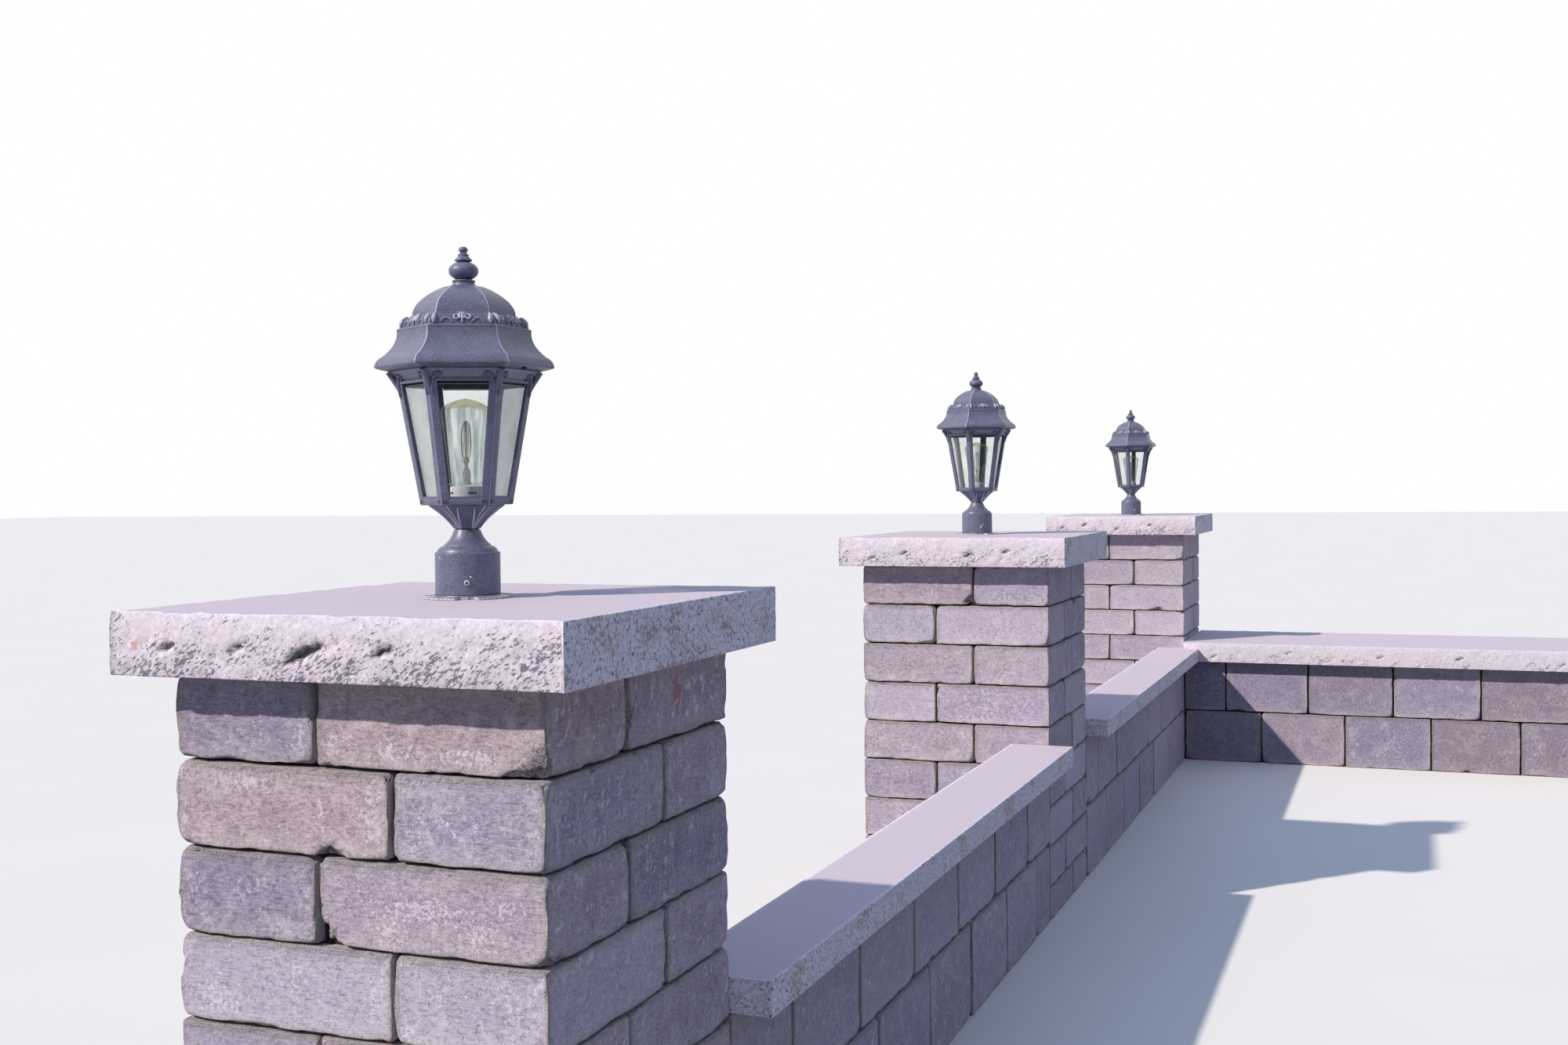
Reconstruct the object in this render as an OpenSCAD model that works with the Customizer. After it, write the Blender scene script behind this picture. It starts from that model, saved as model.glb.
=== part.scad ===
// Garden wall with four masonry piers, low walls in three bays and a post lantern on each pier.
// Units are millimetres. +Z is up, +Y runs along the two narrow bays, and +X runs along the wide
// bay, away from the planted side. The origin is the middle of the first pier's foot.

/* [Piers] */
// Side of the square pier shaft
pier_side = 508; // [400:1:700]
// Height of the pier shaft, from the ground to the underside of its cap
pier_tall = 920; // [700:1:1200]
// Thickness of the granite pier cap
pier_cap_thick = 76; // [40:1:100]
// Distance that the pier cap stands out past the shaft on each side
pier_cap_overhang = 51; // [20:1:80]

/* [Bays] */
// Clear length of the first narrow wall, between the first and second piers
first_bay = 2112; // [1200:1:3000]
// Clear length of the second narrow wall, up to the corner pier
second_bay = 2136; // [1200:1:3000]
// Clear length of the wide wall, from the corner pier to the last pier
wide_bay = 2136; // [1200:1:3000]

/* [Walls] */
// Height of the masonry in every wall, from the ground to the underside of its cap
wall_tall = 407; // [200:1:600]
// Thickness of the narrow walls
narrow_wall_thick = 102; // [80:1:200]
// Thickness of the granite cap on the narrow walls
narrow_cap_thick = 51; // [30:1:90]
// Distance that the narrow cap stands out past the face of the wall
narrow_cap_overhang = 60; // [20:1:90]
// Thickness of the granite slab on the wide wall
wide_cap_thick = 76; // [40:1:100]
// Distance that the wide slab stands out past each face of the wall
wide_cap_overhang = 51; // [20:1:90]

/* [Lantern base] */
// Width of the round mounting plate
plate_wide = 116; // [100:1:160]
// Thickness of the mounting plate
plate_thick = 5; // [3:0.5:8]
// Number of slots cut into the rim of the plate
plate_slots = 4; // [3:1:8]
// Width of each slot in the plate
plate_slot_wide = 28; // [5:0.5:36]
// Depth of each slot, from the rim inwards
plate_slot_deep = 15; // [6:0.5:18]
// Outer diameter of the fitter
fitter_wide = 83; // [76:1:100]
// Height of the straight part of the fitter
fitter_tall = 55; // [40:1:80]
// Wall of the fitter
fitter_wall = 4; // [3:0.5:8]
// Diameter of the set screw in the fitter
screw_wide = 7; // [4:0.5:10]
// Height of the set screw above the plate
screw_up = 17; // [12:1:30]
// Distance that the set screw stands out of the fitter
screw_out = 1.5; // [0.5:0.5:4]
// Diameter of the foot of the bell that stands on the fitter
bell_foot_wide = 77; // [60:1:82]
// Diameter of the neck at the top of the bell
neck_wide = 32; // [20:1:35]
// Height of the bell from the fitter to the neck
bell_tall = 28; // [20:1:50]
// Distance across the corners at the foot of the cup
cup_foot_wide = 37; // [36:1:60]
// Height of the flared cup under the cage
cup_tall = 31; // [20:1:50]
// Distance across the corners at the top of the cup
cup_wide = 96; // [80:1:110]

/* [Lantern cage] */
// Distance across the corners at the foot of the cage
cage_foot_wide = 117; // [100:1:160]
// Distance across the corners at the top of the cage
cage_top_wide = 176; // [150:1:220]
// Height of the cage
cage_tall = 170; // [120:1:240]
// Thickness of the cage floor
cage_floor_thick = 8; // [6:1:20]
// Thickness of the cage's sides
cage_wall = 5; // [3:0.5:7]
// Width of each corner rib on one side of the cage
rib_wide = 10; // [6:0.5:14]
// Height of the solid band above the windows
cage_band = 16; // [8:1:30]
// Height of the solid rail below the windows
cage_rail = 3; // [2:0.5:10]
// Thickness of the glass
glass_thick = 3; // [2:0.5:4]
// Distance that the glass laps the band above the windows
glass_lap = 3; // [1:0.5:6]

/* [Lantern roof] */
// Distance across the corners at the eaves
eave_wide = 228; // [190:1:280]
// Height that the underside of the eaves rises, from the cage out to the rim
soffit_rise = 4; // [1:1:8]
// Thickness of the eaves' rim
eave_rim = 6; // [2:0.5:8]
// Height of the lower, hollow curve of the roof
skirt_tall = 42; // [30:1:80]
// Distance across the corners at the top of the lower curve
skirt_top_wide = 168; // [140:1:180]
// Height of the ornament band
band_tall = 18; // [10:1:30]
// Distance across the corners at the top of the ornament band
band_top_wide = 140; // [120:1:160]
// Distance across the corners at the foot of the dome
dome_wide = 131; // [110:1:150]
// Height of the dome
dome_tall = 39; // [25:1:60]
// Distance across the corners at the flat top of the dome
dome_top_wide = 48; // [40:1:80]
// Thickness of the roof casting
roof_wall = 4; // [3:0.5:6]
// Diameter of the ball of the finial
ball_wide = 38; // [25:1:50]
// Height of the ball between its collar and its spire
ball_tall = 24; // [18:1:40]
// Diameter of the collar under the ball
collar_wide = 30; // [20:1:36]
// Height of the collar under the ball
collar_tall = 7; // [2:0.5:12]
// Largest diameter of the spire above the ball
spire_wide = 22; // [12:1:26]
// Height of the spire above the ball
spire_tall = 20; // [10:1:40]

/* [Lamp] */
// Diameter of the lamp holder
holder_wide = 42; // [35:1:50]
// Height of the lamp holder
holder_tall = 16; // [10:1:30]
// Largest diameter of the bulb
bulb_wide = 63; // [50:1:68]
// Height of the bulb above the holder
bulb_tall = 112; // [80:1:130]
// Diameter of the bulb where it enters the holder
bulb_neck_wide = 38; // [26:1:45]

/* [Hidden] */
PIERS = 4;
SIDES = 6;
CORNER_TURN = 30;
ROUND = 64;
DOME_STEPS = 6;
CURVE_STEPS = 6;
// Clearance between a pane and its frame, and between a bulb and its holder
fit_gap = 0.2;
// Overlap that keeps a cutting shape clear of the face that it leaves
cut_over = 1;
// Height of the straight edge at the foot of the bell
bell_lip = 2;
// Powers that bend the hollow curves of the bell, the cup and the roof's lower part, and the dome
bell_bend = 1.8;
cup_bend = 1.3;
skirt_bend = 2.2;
dome_bend = 1.8;
// Angle above and below the middle of the ball at which the spire and the collar cut it off
ball_cut = 55;
// Outline of the spire, as shares of its half width and its height
SPIRE = [[0.8, 0], [1, 0.1], [0.75, 0.25], [0.65, 0.42], [0.4, 0.52], [0.5, 0.75], [0.3, 0.97]];

pier_half = pier_side / 2;
pier_cap_side = pier_side + 2 * pier_cap_overhang;

// Middle of each pier's foot
first_pitch = pier_side + first_bay;
second_pitch = pier_side + second_bay;
wide_pitch = pier_side + wide_bay;
corner_y = first_pitch + second_pitch;
PIER_SPOTS = [[0, 0], [0, first_pitch], [0, corner_y], [wide_pitch, corner_y]];

// Heights inside a lantern, above the plate's underside
fitter_top = plate_thick + fitter_tall;
bell_top = fitter_top + bell_tall;
cup_top = bell_top + cup_tall;
cage_top = cup_top + cage_tall;
soffit_top = cage_top + soffit_rise;
rim_top = soffit_top + eave_rim;
skirt_top = rim_top + skirt_tall;
band_top = skirt_top + band_tall;
roof_top = band_top + dome_tall;
floor_top = cup_top + cage_floor_thick;
holder_top = floor_top + holder_tall;

GRANITE = [0.78, 0.77, 0.79];
BLOCK = [0.50, 0.46, 0.49];
IRON = [0.13, 0.13, 0.15];
GLASS = [0.85, 0.90, 0.88, 0.35];
AMBER = [0.95, 0.85, 0.60, 0.45];
CERAMIC = [0.90, 0.89, 0.86];

// Masonry and granite

module pier_shaft(spot) {
    color(BLOCK)
    translate([spot.x - pier_half, spot.y - pier_half, 0])
    cube([pier_side, pier_side, pier_tall]);
}

module pier_cap(spot) {
    color(GRANITE)
    translate([spot.x - pier_cap_side / 2, spot.y - pier_cap_side / 2, pier_tall])
    cube([pier_cap_side, pier_cap_side, pier_cap_thick]);
}

// A narrow wall stands flush with the piers' +X faces, from the pier at y_from
module narrow_wall(y_from, length) {
    color(BLOCK)
    translate([pier_half - narrow_wall_thick, y_from + pier_half, 0])
    cube([narrow_wall_thick, length, wall_tall]);
}

// The cap stands out on the +X side only, over the length past_face
module narrow_cap(y_from, length, past_face) {
    color(GRANITE)
    translate([pier_half - narrow_wall_thick, y_from + pier_half, wall_tall]) {
        cube([narrow_wall_thick, length, narrow_cap_thick]);
        translate([narrow_wall_thick - cut_over, 0, 0])
        cube([narrow_cap_overhang + cut_over, past_face, narrow_cap_thick]);
    }
}

module first_wall() {
    narrow_wall(0, first_bay);
}

module first_wall_cap() {
    narrow_cap(0, first_bay, first_bay);
}

module second_wall() {
    narrow_wall(first_pitch, second_bay);
}

// The overhang stops where the wide slab's front edge crosses it
module second_wall_cap() {
    narrow_cap(first_pitch, second_bay, second_bay - wide_cap_overhang);
}

module wide_wall() {
    color(BLOCK)
    translate([pier_half, corner_y - pier_half, 0])
    cube([wide_bay, pier_side, wall_tall]);
}

module wide_wall_slab() {
    slab_deep = pier_side + 2 * wide_cap_overhang;
    color(GRANITE)
    translate([pier_half, corner_y - slab_deep / 2, wall_tall])
    cube([wide_bay, slab_deep, wide_cap_thick]);
}

// Lantern, drawn with its plate's underside at z = 0

module at_lantern(spot) {
    translate([spot.x, spot.y, pier_tall + pier_cap_thick])
    children();
}

// A six-sided turning of an outline of [half width across corners, height] points
module six_sided(outline) {
    rotate([0, 0, CORNER_TURN])
    rotate_extrude($fn = SIDES)
    polygon(outline);
}

module lantern_plate() {
    color(IRON)
    difference() {
        cylinder(h = plate_thick, d = plate_wide, $fn = ROUND);
        for (i = [0 : plate_slots - 1])
            rotate([0, 0, i * 360 / plate_slots - 2 * CORNER_TURN])
            translate([plate_wide / 2 - plate_slot_deep, -plate_slot_wide / 2, -cut_over])
            cube([plate_slot_deep + cut_over, plate_slot_wide, plate_thick + 2 * cut_over]);
    }
}

// The set screw is on the side that faces -Y and +X, and ends inside the fitter's wall
module set_screw() {
    rotate([-90, 0, -CORNER_TURN])
    translate([0, -plate_thick - screw_up, -fitter_wide / 2 - screw_out])
    cylinder(h = fitter_wall / 2 + screw_out, d = screw_wide, $fn = ROUND);
}

// Fitter, bell and six-sided cup are one casting
module lantern_fitter() {
    bell_foot = bell_foot_wide / 2;
    neck = neck_wide / 2;
    bell_foot_top = fitter_top + bell_lip;
    cup_foot = cup_foot_wide / 2;
    cup = cup_wide / 2;
    color(IRON) {
        difference() {
            translate([0, 0, plate_thick])
            cylinder(h = fitter_tall, d = fitter_wide, $fn = ROUND);
            translate([0, 0, plate_thick - cut_over])
            cylinder(
                h = fitter_tall - fitter_wall + cut_over,
                d = fitter_wide - 2 * fitter_wall,
                $fn = ROUND
            );
        }
        set_screw();
        rotate_extrude($fn = ROUND)
        polygon(concat(
            [[0, fitter_top - cut_over], [bell_foot, fitter_top - cut_over]],
            [for (i = [0 : CURVE_STEPS])
                let (t = i / CURVE_STEPS)
                [
                    neck + (bell_foot - neck) * pow(1 - t, bell_bend),
                    bell_foot_top + (bell_top - bell_foot_top) * t
                ]],
            [[0, bell_top]]
        ));
        six_sided(concat(
            [[0, bell_top - cut_over], [cup_foot, bell_top - cut_over]],
            [for (i = [0 : CURVE_STEPS])
                let (t = i / CURVE_STEPS)
                [cup_foot + (cup - cup_foot) * pow(t, cup_bend), bell_top + cup_tall * t]],
            [[0, cup_top]]
        ));
    }
}

// Half width across the corners of the cage at a height above the cage's foot
function cage_half(up) =
    cage_foot_wide / 2 + (cage_top_wide - cage_foot_wide) / 2 * up / cage_tall;

// Distance from the axis to the middle of a side, for a half width across corners
function flat_half(half) = half * cos(180 / SIDES);

// Tapered six-sided solid that lies a given depth inside the cage's outer faces
module cage_form(depth, from, to) {
    inset = depth / cos(180 / SIDES);
    rotate([0, 0, CORNER_TURN])
    translate([0, 0, cup_top + from])
    cylinder(
        h = to - from,
        r1 = cage_half(from) - inset,
        r2 = cage_half(to) - inset,
        $fn = SIDES
    );
}

// Prism through each side, with its upright edges a given distance in from the corners
module side_prisms(low, high, from_corner) {
    low_half = cage_half(low) / 2 - from_corner;
    high_half = cage_half(high) / 2 - from_corner;
    reach = cage_top_wide / 2;
    for (i = [0 : SIDES - 1])
        rotate([0, 0, i * 360 / SIDES])
        translate([0, 0, cup_top])
        rotate([90, 0, 90])
        linear_extrude(height = reach)
        polygon([[-low_half, low], [low_half, low], [high_half, high], [-high_half, high]]);
}

module lantern_cage() {
    color(IRON)
    difference() {
        cage_form(0, 0, cage_tall);
        cage_form(cage_wall, cage_floor_thick, cage_tall + cut_over);
        side_prisms(cage_floor_thick + cage_rail, cage_tall - cage_band, rib_wide);
    }
}

// Each pane stands on the cage floor, behind the ribs and clear of its neighbours
module lantern_panes() {
    outer = cage_wall + fit_gap;
    inner = outer + glass_thick;
    edge = inner * tan(180 / SIDES) + fit_gap;
    foot = cage_floor_thick + fit_gap;
    color(GLASS)
    intersection() {
        difference() {
            cage_form(outer, foot, cage_tall);
            cage_form(inner, 0, cage_tall + cut_over);
        }
        side_prisms(foot, cage_tall - cage_band + glass_lap, edge);
    }
}

// Outer and inner outlines of the roof, from the eaves up to the flat top
function skirt_point(t, eave, top) =
    [top + (eave - top) * pow(1 - t, skirt_bend), rim_top + skirt_tall * t];

function dome_point(t, foot, top, tall) =
    [top + (foot - top) * pow(cos(90 * t), dome_bend), band_top + tall * sin(90 * t)];

module lantern_roof() {
    eave = eave_wide / 2;
    skirt = skirt_top_wide / 2;
    dome = dome_wide / 2;
    top = dome_top_wide / 2;
    band = band_top_wide / 2;
    rest = cage_half(cage_tall);
    seat = rest - cage_wall;
    color(IRON)
    six_sided(concat(
        [[0, roof_top], [0, roof_top - roof_wall], [top, roof_top - roof_wall]],
        [[min(dome, band) - roof_wall, band_top], [skirt - 2 * roof_wall, skirt_top]],
        [[seat, soffit_top + roof_wall], [seat, cage_top], [rest, cage_top], [eave, soffit_top]],
        [for (i = [0 : CURVE_STEPS]) skirt_point(i / CURVE_STEPS, eave, skirt)],
        [[band, band_top]],
        [for (i = [0 : DOME_STEPS]) dome_point(i / DOME_STEPS, dome, top, dome_tall)]
    ));
}

module lantern_finial() {
    ball = ball_wide / 2;
    spire = spire_wide / 2;
    ball_foot = roof_top + collar_tall;
    ball_mid = ball_foot + ball_tall / 2;
    ball_top = ball_foot + ball_tall;
    ball_rise = ball_tall / 2 / sin(ball_cut);
    color(IRON) {
        translate([0, 0, roof_top])
        cylinder(h = collar_tall + cut_over, d = collar_wide, $fn = ROUND);
        rotate_extrude($fn = ROUND)
        polygon(concat(
            [[0, ball_foot]],
            [for (i = [-DOME_STEPS : DOME_STEPS])
                let (turn = ball_cut * i / DOME_STEPS)
                [ball * cos(turn), ball_mid + ball_rise * sin(turn)]],
            [[0, ball_top]]
        ));
        rotate_extrude($fn = ROUND)
        polygon(concat(
            [[0, ball_top - cut_over], [spire * SPIRE[0].x, ball_top - cut_over]],
            [for (spot = SPIRE) [spire * spot.x, ball_top + spire_tall * spot.y]],
            [[0, ball_top + spire_tall]]
        ));
    }
}

module lantern_holder() {
    color(CERAMIC)
    translate([0, 0, floor_top])
    cylinder(h = holder_tall, d = holder_wide, $fn = ROUND);
}

module lantern_bulb() {
    neck = bulb_neck_wide / 2;
    wide = bulb_wide / 2;
    shoulder = bulb_tall - wide;
    color(AMBER)
    translate([0, 0, holder_top + fit_gap])
    rotate_extrude($fn = ROUND)
    polygon(concat(
        [[0, 0], [neck, 0]],
        [for (i = [0 : DOME_STEPS])
            let (t = 90 * i / DOME_STEPS)
            [wide * cos(t), shoulder + wide * sin(t)]]
    ));
}

for (i = [1 : PIERS]) {
    spot = PIER_SPOTS[i - 1];
    pier_shaft(spot);
    pier_cap(spot);
    at_lantern(spot) lantern_plate();
    at_lantern(spot) lantern_fitter();
    at_lantern(spot) lantern_cage();
    at_lantern(spot) lantern_panes();
    at_lantern(spot) lantern_roof();
    at_lantern(spot) lantern_finial();
    at_lantern(spot) lantern_holder();
    at_lantern(spot) lantern_bulb();
}
first_wall();
second_wall();
wide_wall();
first_wall_cap();
second_wall_cap();
wide_wall_slab();
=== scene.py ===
import math

import bpy
import numpy as np
from mathutils import Matrix, Vector


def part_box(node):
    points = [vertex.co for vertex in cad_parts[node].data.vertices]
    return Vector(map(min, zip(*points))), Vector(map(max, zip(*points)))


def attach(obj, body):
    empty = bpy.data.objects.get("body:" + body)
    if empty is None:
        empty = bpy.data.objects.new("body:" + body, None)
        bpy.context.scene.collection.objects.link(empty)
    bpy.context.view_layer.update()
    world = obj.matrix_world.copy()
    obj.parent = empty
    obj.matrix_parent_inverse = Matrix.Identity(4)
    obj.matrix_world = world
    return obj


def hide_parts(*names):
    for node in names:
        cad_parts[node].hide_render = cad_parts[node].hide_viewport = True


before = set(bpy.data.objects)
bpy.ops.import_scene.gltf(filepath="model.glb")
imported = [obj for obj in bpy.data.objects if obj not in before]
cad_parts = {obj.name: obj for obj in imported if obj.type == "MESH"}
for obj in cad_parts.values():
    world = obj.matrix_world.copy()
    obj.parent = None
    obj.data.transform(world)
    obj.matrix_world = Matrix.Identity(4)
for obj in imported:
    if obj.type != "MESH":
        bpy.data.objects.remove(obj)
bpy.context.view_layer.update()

MM = 0.001
PIERS = 4
SIDES = 6
ALL_ROUND = 2 * math.pi


# Noise on points, in metres

# Large numbers that scramble the whole numbers of a cell and a seed
SCRAMBLE = (73856093, 19349663, 83492791, 2654435)
STIRS = ((13, 1274126177), (16, 668265263))


def hashed(cell, seed):
    """A number from 0 to 1 for each whole-number cell."""
    mix = seed * SCRAMBLE[3]
    for axis in range(3):
        mix = mix ^ cell[:, axis] * SCRAMBLE[axis]
    for shift, factor in STIRS:
        mix = (mix ^ (mix >> shift)) * factor & 0xFFFFFFFF
    return ((mix >> 8) & 0xFFFF) / 0xFFFF


def bumps(points, size, seed):
    """Smooth noise from 0 to 1 whose bumps are about size across."""
    scaled = points / size
    cell = np.floor(scaled).astype(np.int64)
    part = scaled - cell
    part = part * part * (3 - 2 * part)
    total = np.zeros(len(points))
    for corner in np.ndindex(2, 2, 2):
        weight = np.prod(np.where(corner, part, 1 - part), axis=1)
        total += weight * hashed(cell + corner, seed)
    return total


def rough(points, size, seed, layers=3):
    """Layered noise from about -1 to 1."""
    total = np.zeros(len(points))
    for layer in range(layers):
        total += (2 * bumps(points, size / 2 ** layer, seed + layer) - 1) / 2 ** layer
    return total


def unit(vector):
    vector = np.asarray(vector, float)
    return vector / np.linalg.norm(vector)


# Meshes

def skin(rings):
    """Points and faces over a stack of rings, with one flat face on the first ring and one on the last."""
    count, around = rings.shape[:2]
    index = np.arange(count * around).reshape(count, around)
    turned = np.roll(index, -1, axis=1)
    quads = np.stack([index[:-1], turned[:-1], turned[1:], index[1:]], axis=-1)
    return rings.reshape(-1, 3), [quads.reshape(-1, 4), index[:1, ::-1], index[-1:]]


def lathe(outline, ring):
    """Rings at each (reach, height) of an outline in mm, from a function that draws the ring of one reach."""
    rows = []
    for reach, height in outline:
        flat = ring(reach * MM)
        rows.append(np.column_stack([flat, np.full(len(flat), height * MM)]))
    return np.array(rows)


def round_ring(steps):
    angles = np.linspace(0, ALL_ROUND, steps, endpoint=False)
    circle = np.column_stack([np.cos(angles), np.sin(angles)])
    return lambda reach: circle * reach


CORNER_TURN = math.radians(30)
SIDE_TURN = ALL_ROUND / SIDES
# Distance of a side of the hexagon from its middle, where the corners are at 1
FLAT_SHARE = math.cos(math.pi / SIDES)
# Places of the points that hold a side flat next to its softened corners
HOLD_NEAR, HOLD_MOST = 0.7 * MM, 0.15


def six_ring(softness, corner_steps=4, side_steps=3):
    """Rings of six sides with softened corners, where the reach is measured at the sharp corner."""

    def ring(reach):
        soft = min(softness, reach * 0.6)
        arcs = []
        for corner in range(SIDES):
            turn = CORNER_TURN + corner * SIDE_TURN
            middle = (reach - soft / FLAT_SHARE) * ray(turn)[:2]
            angles = turn + SIDE_TURN * (np.arange(corner_steps + 1) / corner_steps - 0.5)
            arcs.append(middle + soft * np.column_stack([np.cos(angles), np.sin(angles)]))
        rows = []
        for corner, arc in enumerate(arcs):
            rows.append(arc)
            start, end = arc[-1], arcs[(corner + 1) % SIDES][0]
            near = min(HOLD_MOST, HOLD_NEAR / np.linalg.norm(end - start))
            shares = np.concatenate([[near], np.arange(1, side_steps) / side_steps, [1 - near]])
            rows.append(start + (end - start) * shares[:, None])
        return np.concatenate(rows)

    return ring


def ray(turn):
    """The level direction at an angle."""
    return np.array([math.cos(turn), math.sin(turn), 0])


def tube(path, radii, sides):
    """Rings swept along a path of points, with a radius at each."""
    ahead = np.gradient(path, axis=0)
    ahead /= np.linalg.norm(ahead, axis=1)[:, None]
    across = np.cross(ahead[0], [0, 0, 1])
    if np.linalg.norm(across) < 0.1:
        across = np.cross(ahead[0], [1, 0, 0])
    angles = np.linspace(0, ALL_ROUND, sides, endpoint=False)
    rings = []
    for spot, way, radius in zip(path, ahead, radii):
        across = unit(across - way * (across @ way))
        turn = np.outer(np.cos(angles), across) + np.outer(np.sin(angles), np.cross(way, across))
        rings.append(spot + radius * turn)
    return np.array(rings)


class Shape:
    """Gathers points, faces, material numbers and point attributes for one mesh."""

    def __init__(self):
        self.points = []
        self.faces = []
        self.finish = []
        self.marks = {}
        self.count = 0

    def add(self, points, faces, finish=0, **marks):
        for grid in faces:
            self.faces.append(grid + self.count)
            self.finish.append(np.full(len(grid), finish))
        for name, values in marks.items():
            self.marks.setdefault(name, []).append((self.count, np.asarray(values, float)))
        self.points.append(points)
        self.count += len(points)
        return self

    def wrap(self, rings, finish=0, **marks):
        """Adds the faces over a stack of rings. A mark is one number, or one for each point."""
        points, faces = skin(rings)
        marks = {name: np.broadcast_to(values, len(points)) for name, values in marks.items()}
        return self.add(points, faces, finish, **marks)

    def rod(self, path, radii, finish=0, sides=8, **marks):
        """Adds a round rod along a path in mm, with a radius in mm at each of its points."""
        return self.wrap(tube(np.array(path) * MM, np.asarray(radii) * MM, sides), finish, **marks)

    def mesh(self, name, finishes, sharp=None):
        points = np.concatenate(self.points)
        mesh = bpy.data.meshes.new(name)
        mesh.vertices.add(len(points))
        mesh.vertices.foreach_set("co", points.astype(np.float32).ravel())
        sizes = np.concatenate([np.full(len(f), f.shape[1]) for f in self.faces])
        corners = np.concatenate([f.ravel() for f in self.faces])
        mesh.loops.add(len(corners))
        mesh.loops.foreach_set("vertex_index", corners.astype(np.int32))
        mesh.polygons.add(len(sizes))
        starts = np.concatenate([[0], np.cumsum(sizes)[:-1]])
        mesh.polygons.foreach_set("loop_start", starts.astype(np.int32))
        for finish in finishes:
            mesh.materials.append(finish)
        mesh.polygons.foreach_set("material_index", np.concatenate(self.finish).astype(np.int32))
        mesh.polygons.foreach_set("use_smooth", np.ones(len(sizes), bool))
        mesh.update(calc_edges=True)
        for mark, spans in self.marks.items():
            wide = spans[0][1].ndim == 2
            values = np.zeros((len(points), 3) if wide else len(points))
            for start, span in spans:
                values[start:start + len(span)] = span
            layer = mesh.attributes.new(mark, "FLOAT_VECTOR" if wide else "FLOAT", "POINT")
            layer.data.foreach_set("vector" if wide else "value", values.astype(np.float32).ravel())
        if sharp is not None:
            mesh.set_sharp_from_angle(angle=math.radians(sharp))
        return mesh


def linked(name, data):
    """A new object in the scene."""
    made = bpy.data.objects.new(name, data)
    bpy.context.scene.collection.objects.link(made)
    return made


def place(name, mesh, node, slot, spot=(0, 0, 0)):
    """Puts a mesh in the scene as the piece that stands for a CAD node."""
    piece = linked(name, mesh)
    piece.location = spot
    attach(piece, "root")
    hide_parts(node)


# Node materials. Their colours are named and given from 0 to 255, as seen.

def srgb(red, green, blue):
    """Linear colour of an sRGB colour given from 0 to 255."""
    return tuple(((v / 255 + 0.055) / 1.055) ** 2.4 if v > 10 else v / 3294 for v in (red, green, blue))


class Nodes:
    """The node tree of a material or a world, with short calls for the nodes that this scene uses."""

    def __init__(self, owner, output, **colours):
        owner.use_nodes = True
        self.owner = owner
        self.tree = owner.node_tree
        self.tree.nodes.clear()
        self.output = self.tree.nodes.new(output)
        self.colours = {name: srgb(*colour) for name, colour in colours.items()}
        self.colour = None

    def node(self, kind, inputs=(), **settings):
        made = self.tree.nodes.new(kind)
        for key, value in settings.items():
            setattr(made, key, value)
        for key, value in dict(inputs).items():
            if isinstance(value, bpy.types.NodeSocket):
                self.tree.links.new(value, made.inputs[key])
            else:
                made.inputs[key].default_value = value
        return made

    def attribute(self, name, vector=False):
        made = self.node("ShaderNodeAttribute", attribute_name=name)
        return made.outputs["Vector" if vector else "Fac"]

    def coordinates(self):
        return self.node("ShaderNodeTexCoord").outputs["Object"]

    def stretched(self, vector, scale, turn=(0, 0, 0)):
        turned = self.node("ShaderNodeMapping", {"Vector": vector, "Rotation": turn}).outputs[0]
        return self.node("ShaderNodeMapping", {"Vector": turned, "Scale": scale}).outputs[0]

    def noise(self, vector, scale, detail=2.0, roughness=0.5):
        inputs = {"Vector": vector, "Scale": scale, "Detail": detail, "Roughness": roughness}
        return self.node("ShaderNodeTexNoise", inputs).outputs["Fac"]

    def ranged(self, value, low, high, low_out=0.0, high_out=1.0):
        inputs = {"Value": value, "From Min": low, "From Max": high, "To Min": low_out, "To Max": high_out}
        return self.node("ShaderNodeMapRange", inputs, clamp=True).outputs["Result"]

    def spots(self, vector, scale, detail, roughness, low, high, low_out=0.0, high_out=1.0):
        """Noise, ranged."""
        return self.ranged(self.noise(vector, scale, detail, roughness), low, high, low_out, high_out)

    def maths(self, operation, first, second):
        return self.node("ShaderNodeMath", {0: first, 1: second}, operation=operation).outputs[0]

    def times(self, first, second):
        return self.maths("MULTIPLY", first, second)

    def plus(self, first, second):
        return self.maths("ADD", first, second)

    def most(self, first, *others):
        """The largest of several values."""
        for other in others:
            first = self.maths("MAXIMUM", first, other)
        return first

    def blend(self, share, first, second):
        made = self.node("ShaderNodeMix", data_type="RGBA")
        for key, value in ((0, share), (6, first), (7, second)):
            if isinstance(value, bpy.types.NodeSocket):
                self.tree.links.new(value, made.inputs[key])
            elif key:
                made.inputs[key].default_value = (*value, 1)
            else:
                made.inputs[key].default_value = value
        return made.outputs[2]

    def base(self, share, first, second):
        """Starts the colour as a blend of two named colours."""
        self.colour = self.blend(share, self.colours[first], self.colours[second])

    def paint(self, share, name):
        """Blends a named colour over the colour so far."""
        self.colour = self.blend(share, self.colour, self.colours[name])

    def bump(self, height, distance, strength=1.0, under=None):
        inputs = {"Height": height, "Distance": distance, "Strength": strength}
        if under is not None:
            inputs["Normal"] = under
        return self.node("ShaderNodeBump", inputs).outputs["Normal"]

    def show(self, shader):
        """Sends a shader to the output, and gives what owns the tree."""
        self.tree.links.new(shader.outputs[0], self.output.inputs["Surface"])
        return self.owner

    def surface(self, **inputs):
        """Shows the main shader in the colour so far. Underscores in the names stand for spaces."""
        named = {key.replace("_", " "): value for key, value in inputs.items()}
        return self.show(self.node("ShaderNodeBsdfPrincipled", {"Base Color": self.colour, **named}))


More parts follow.
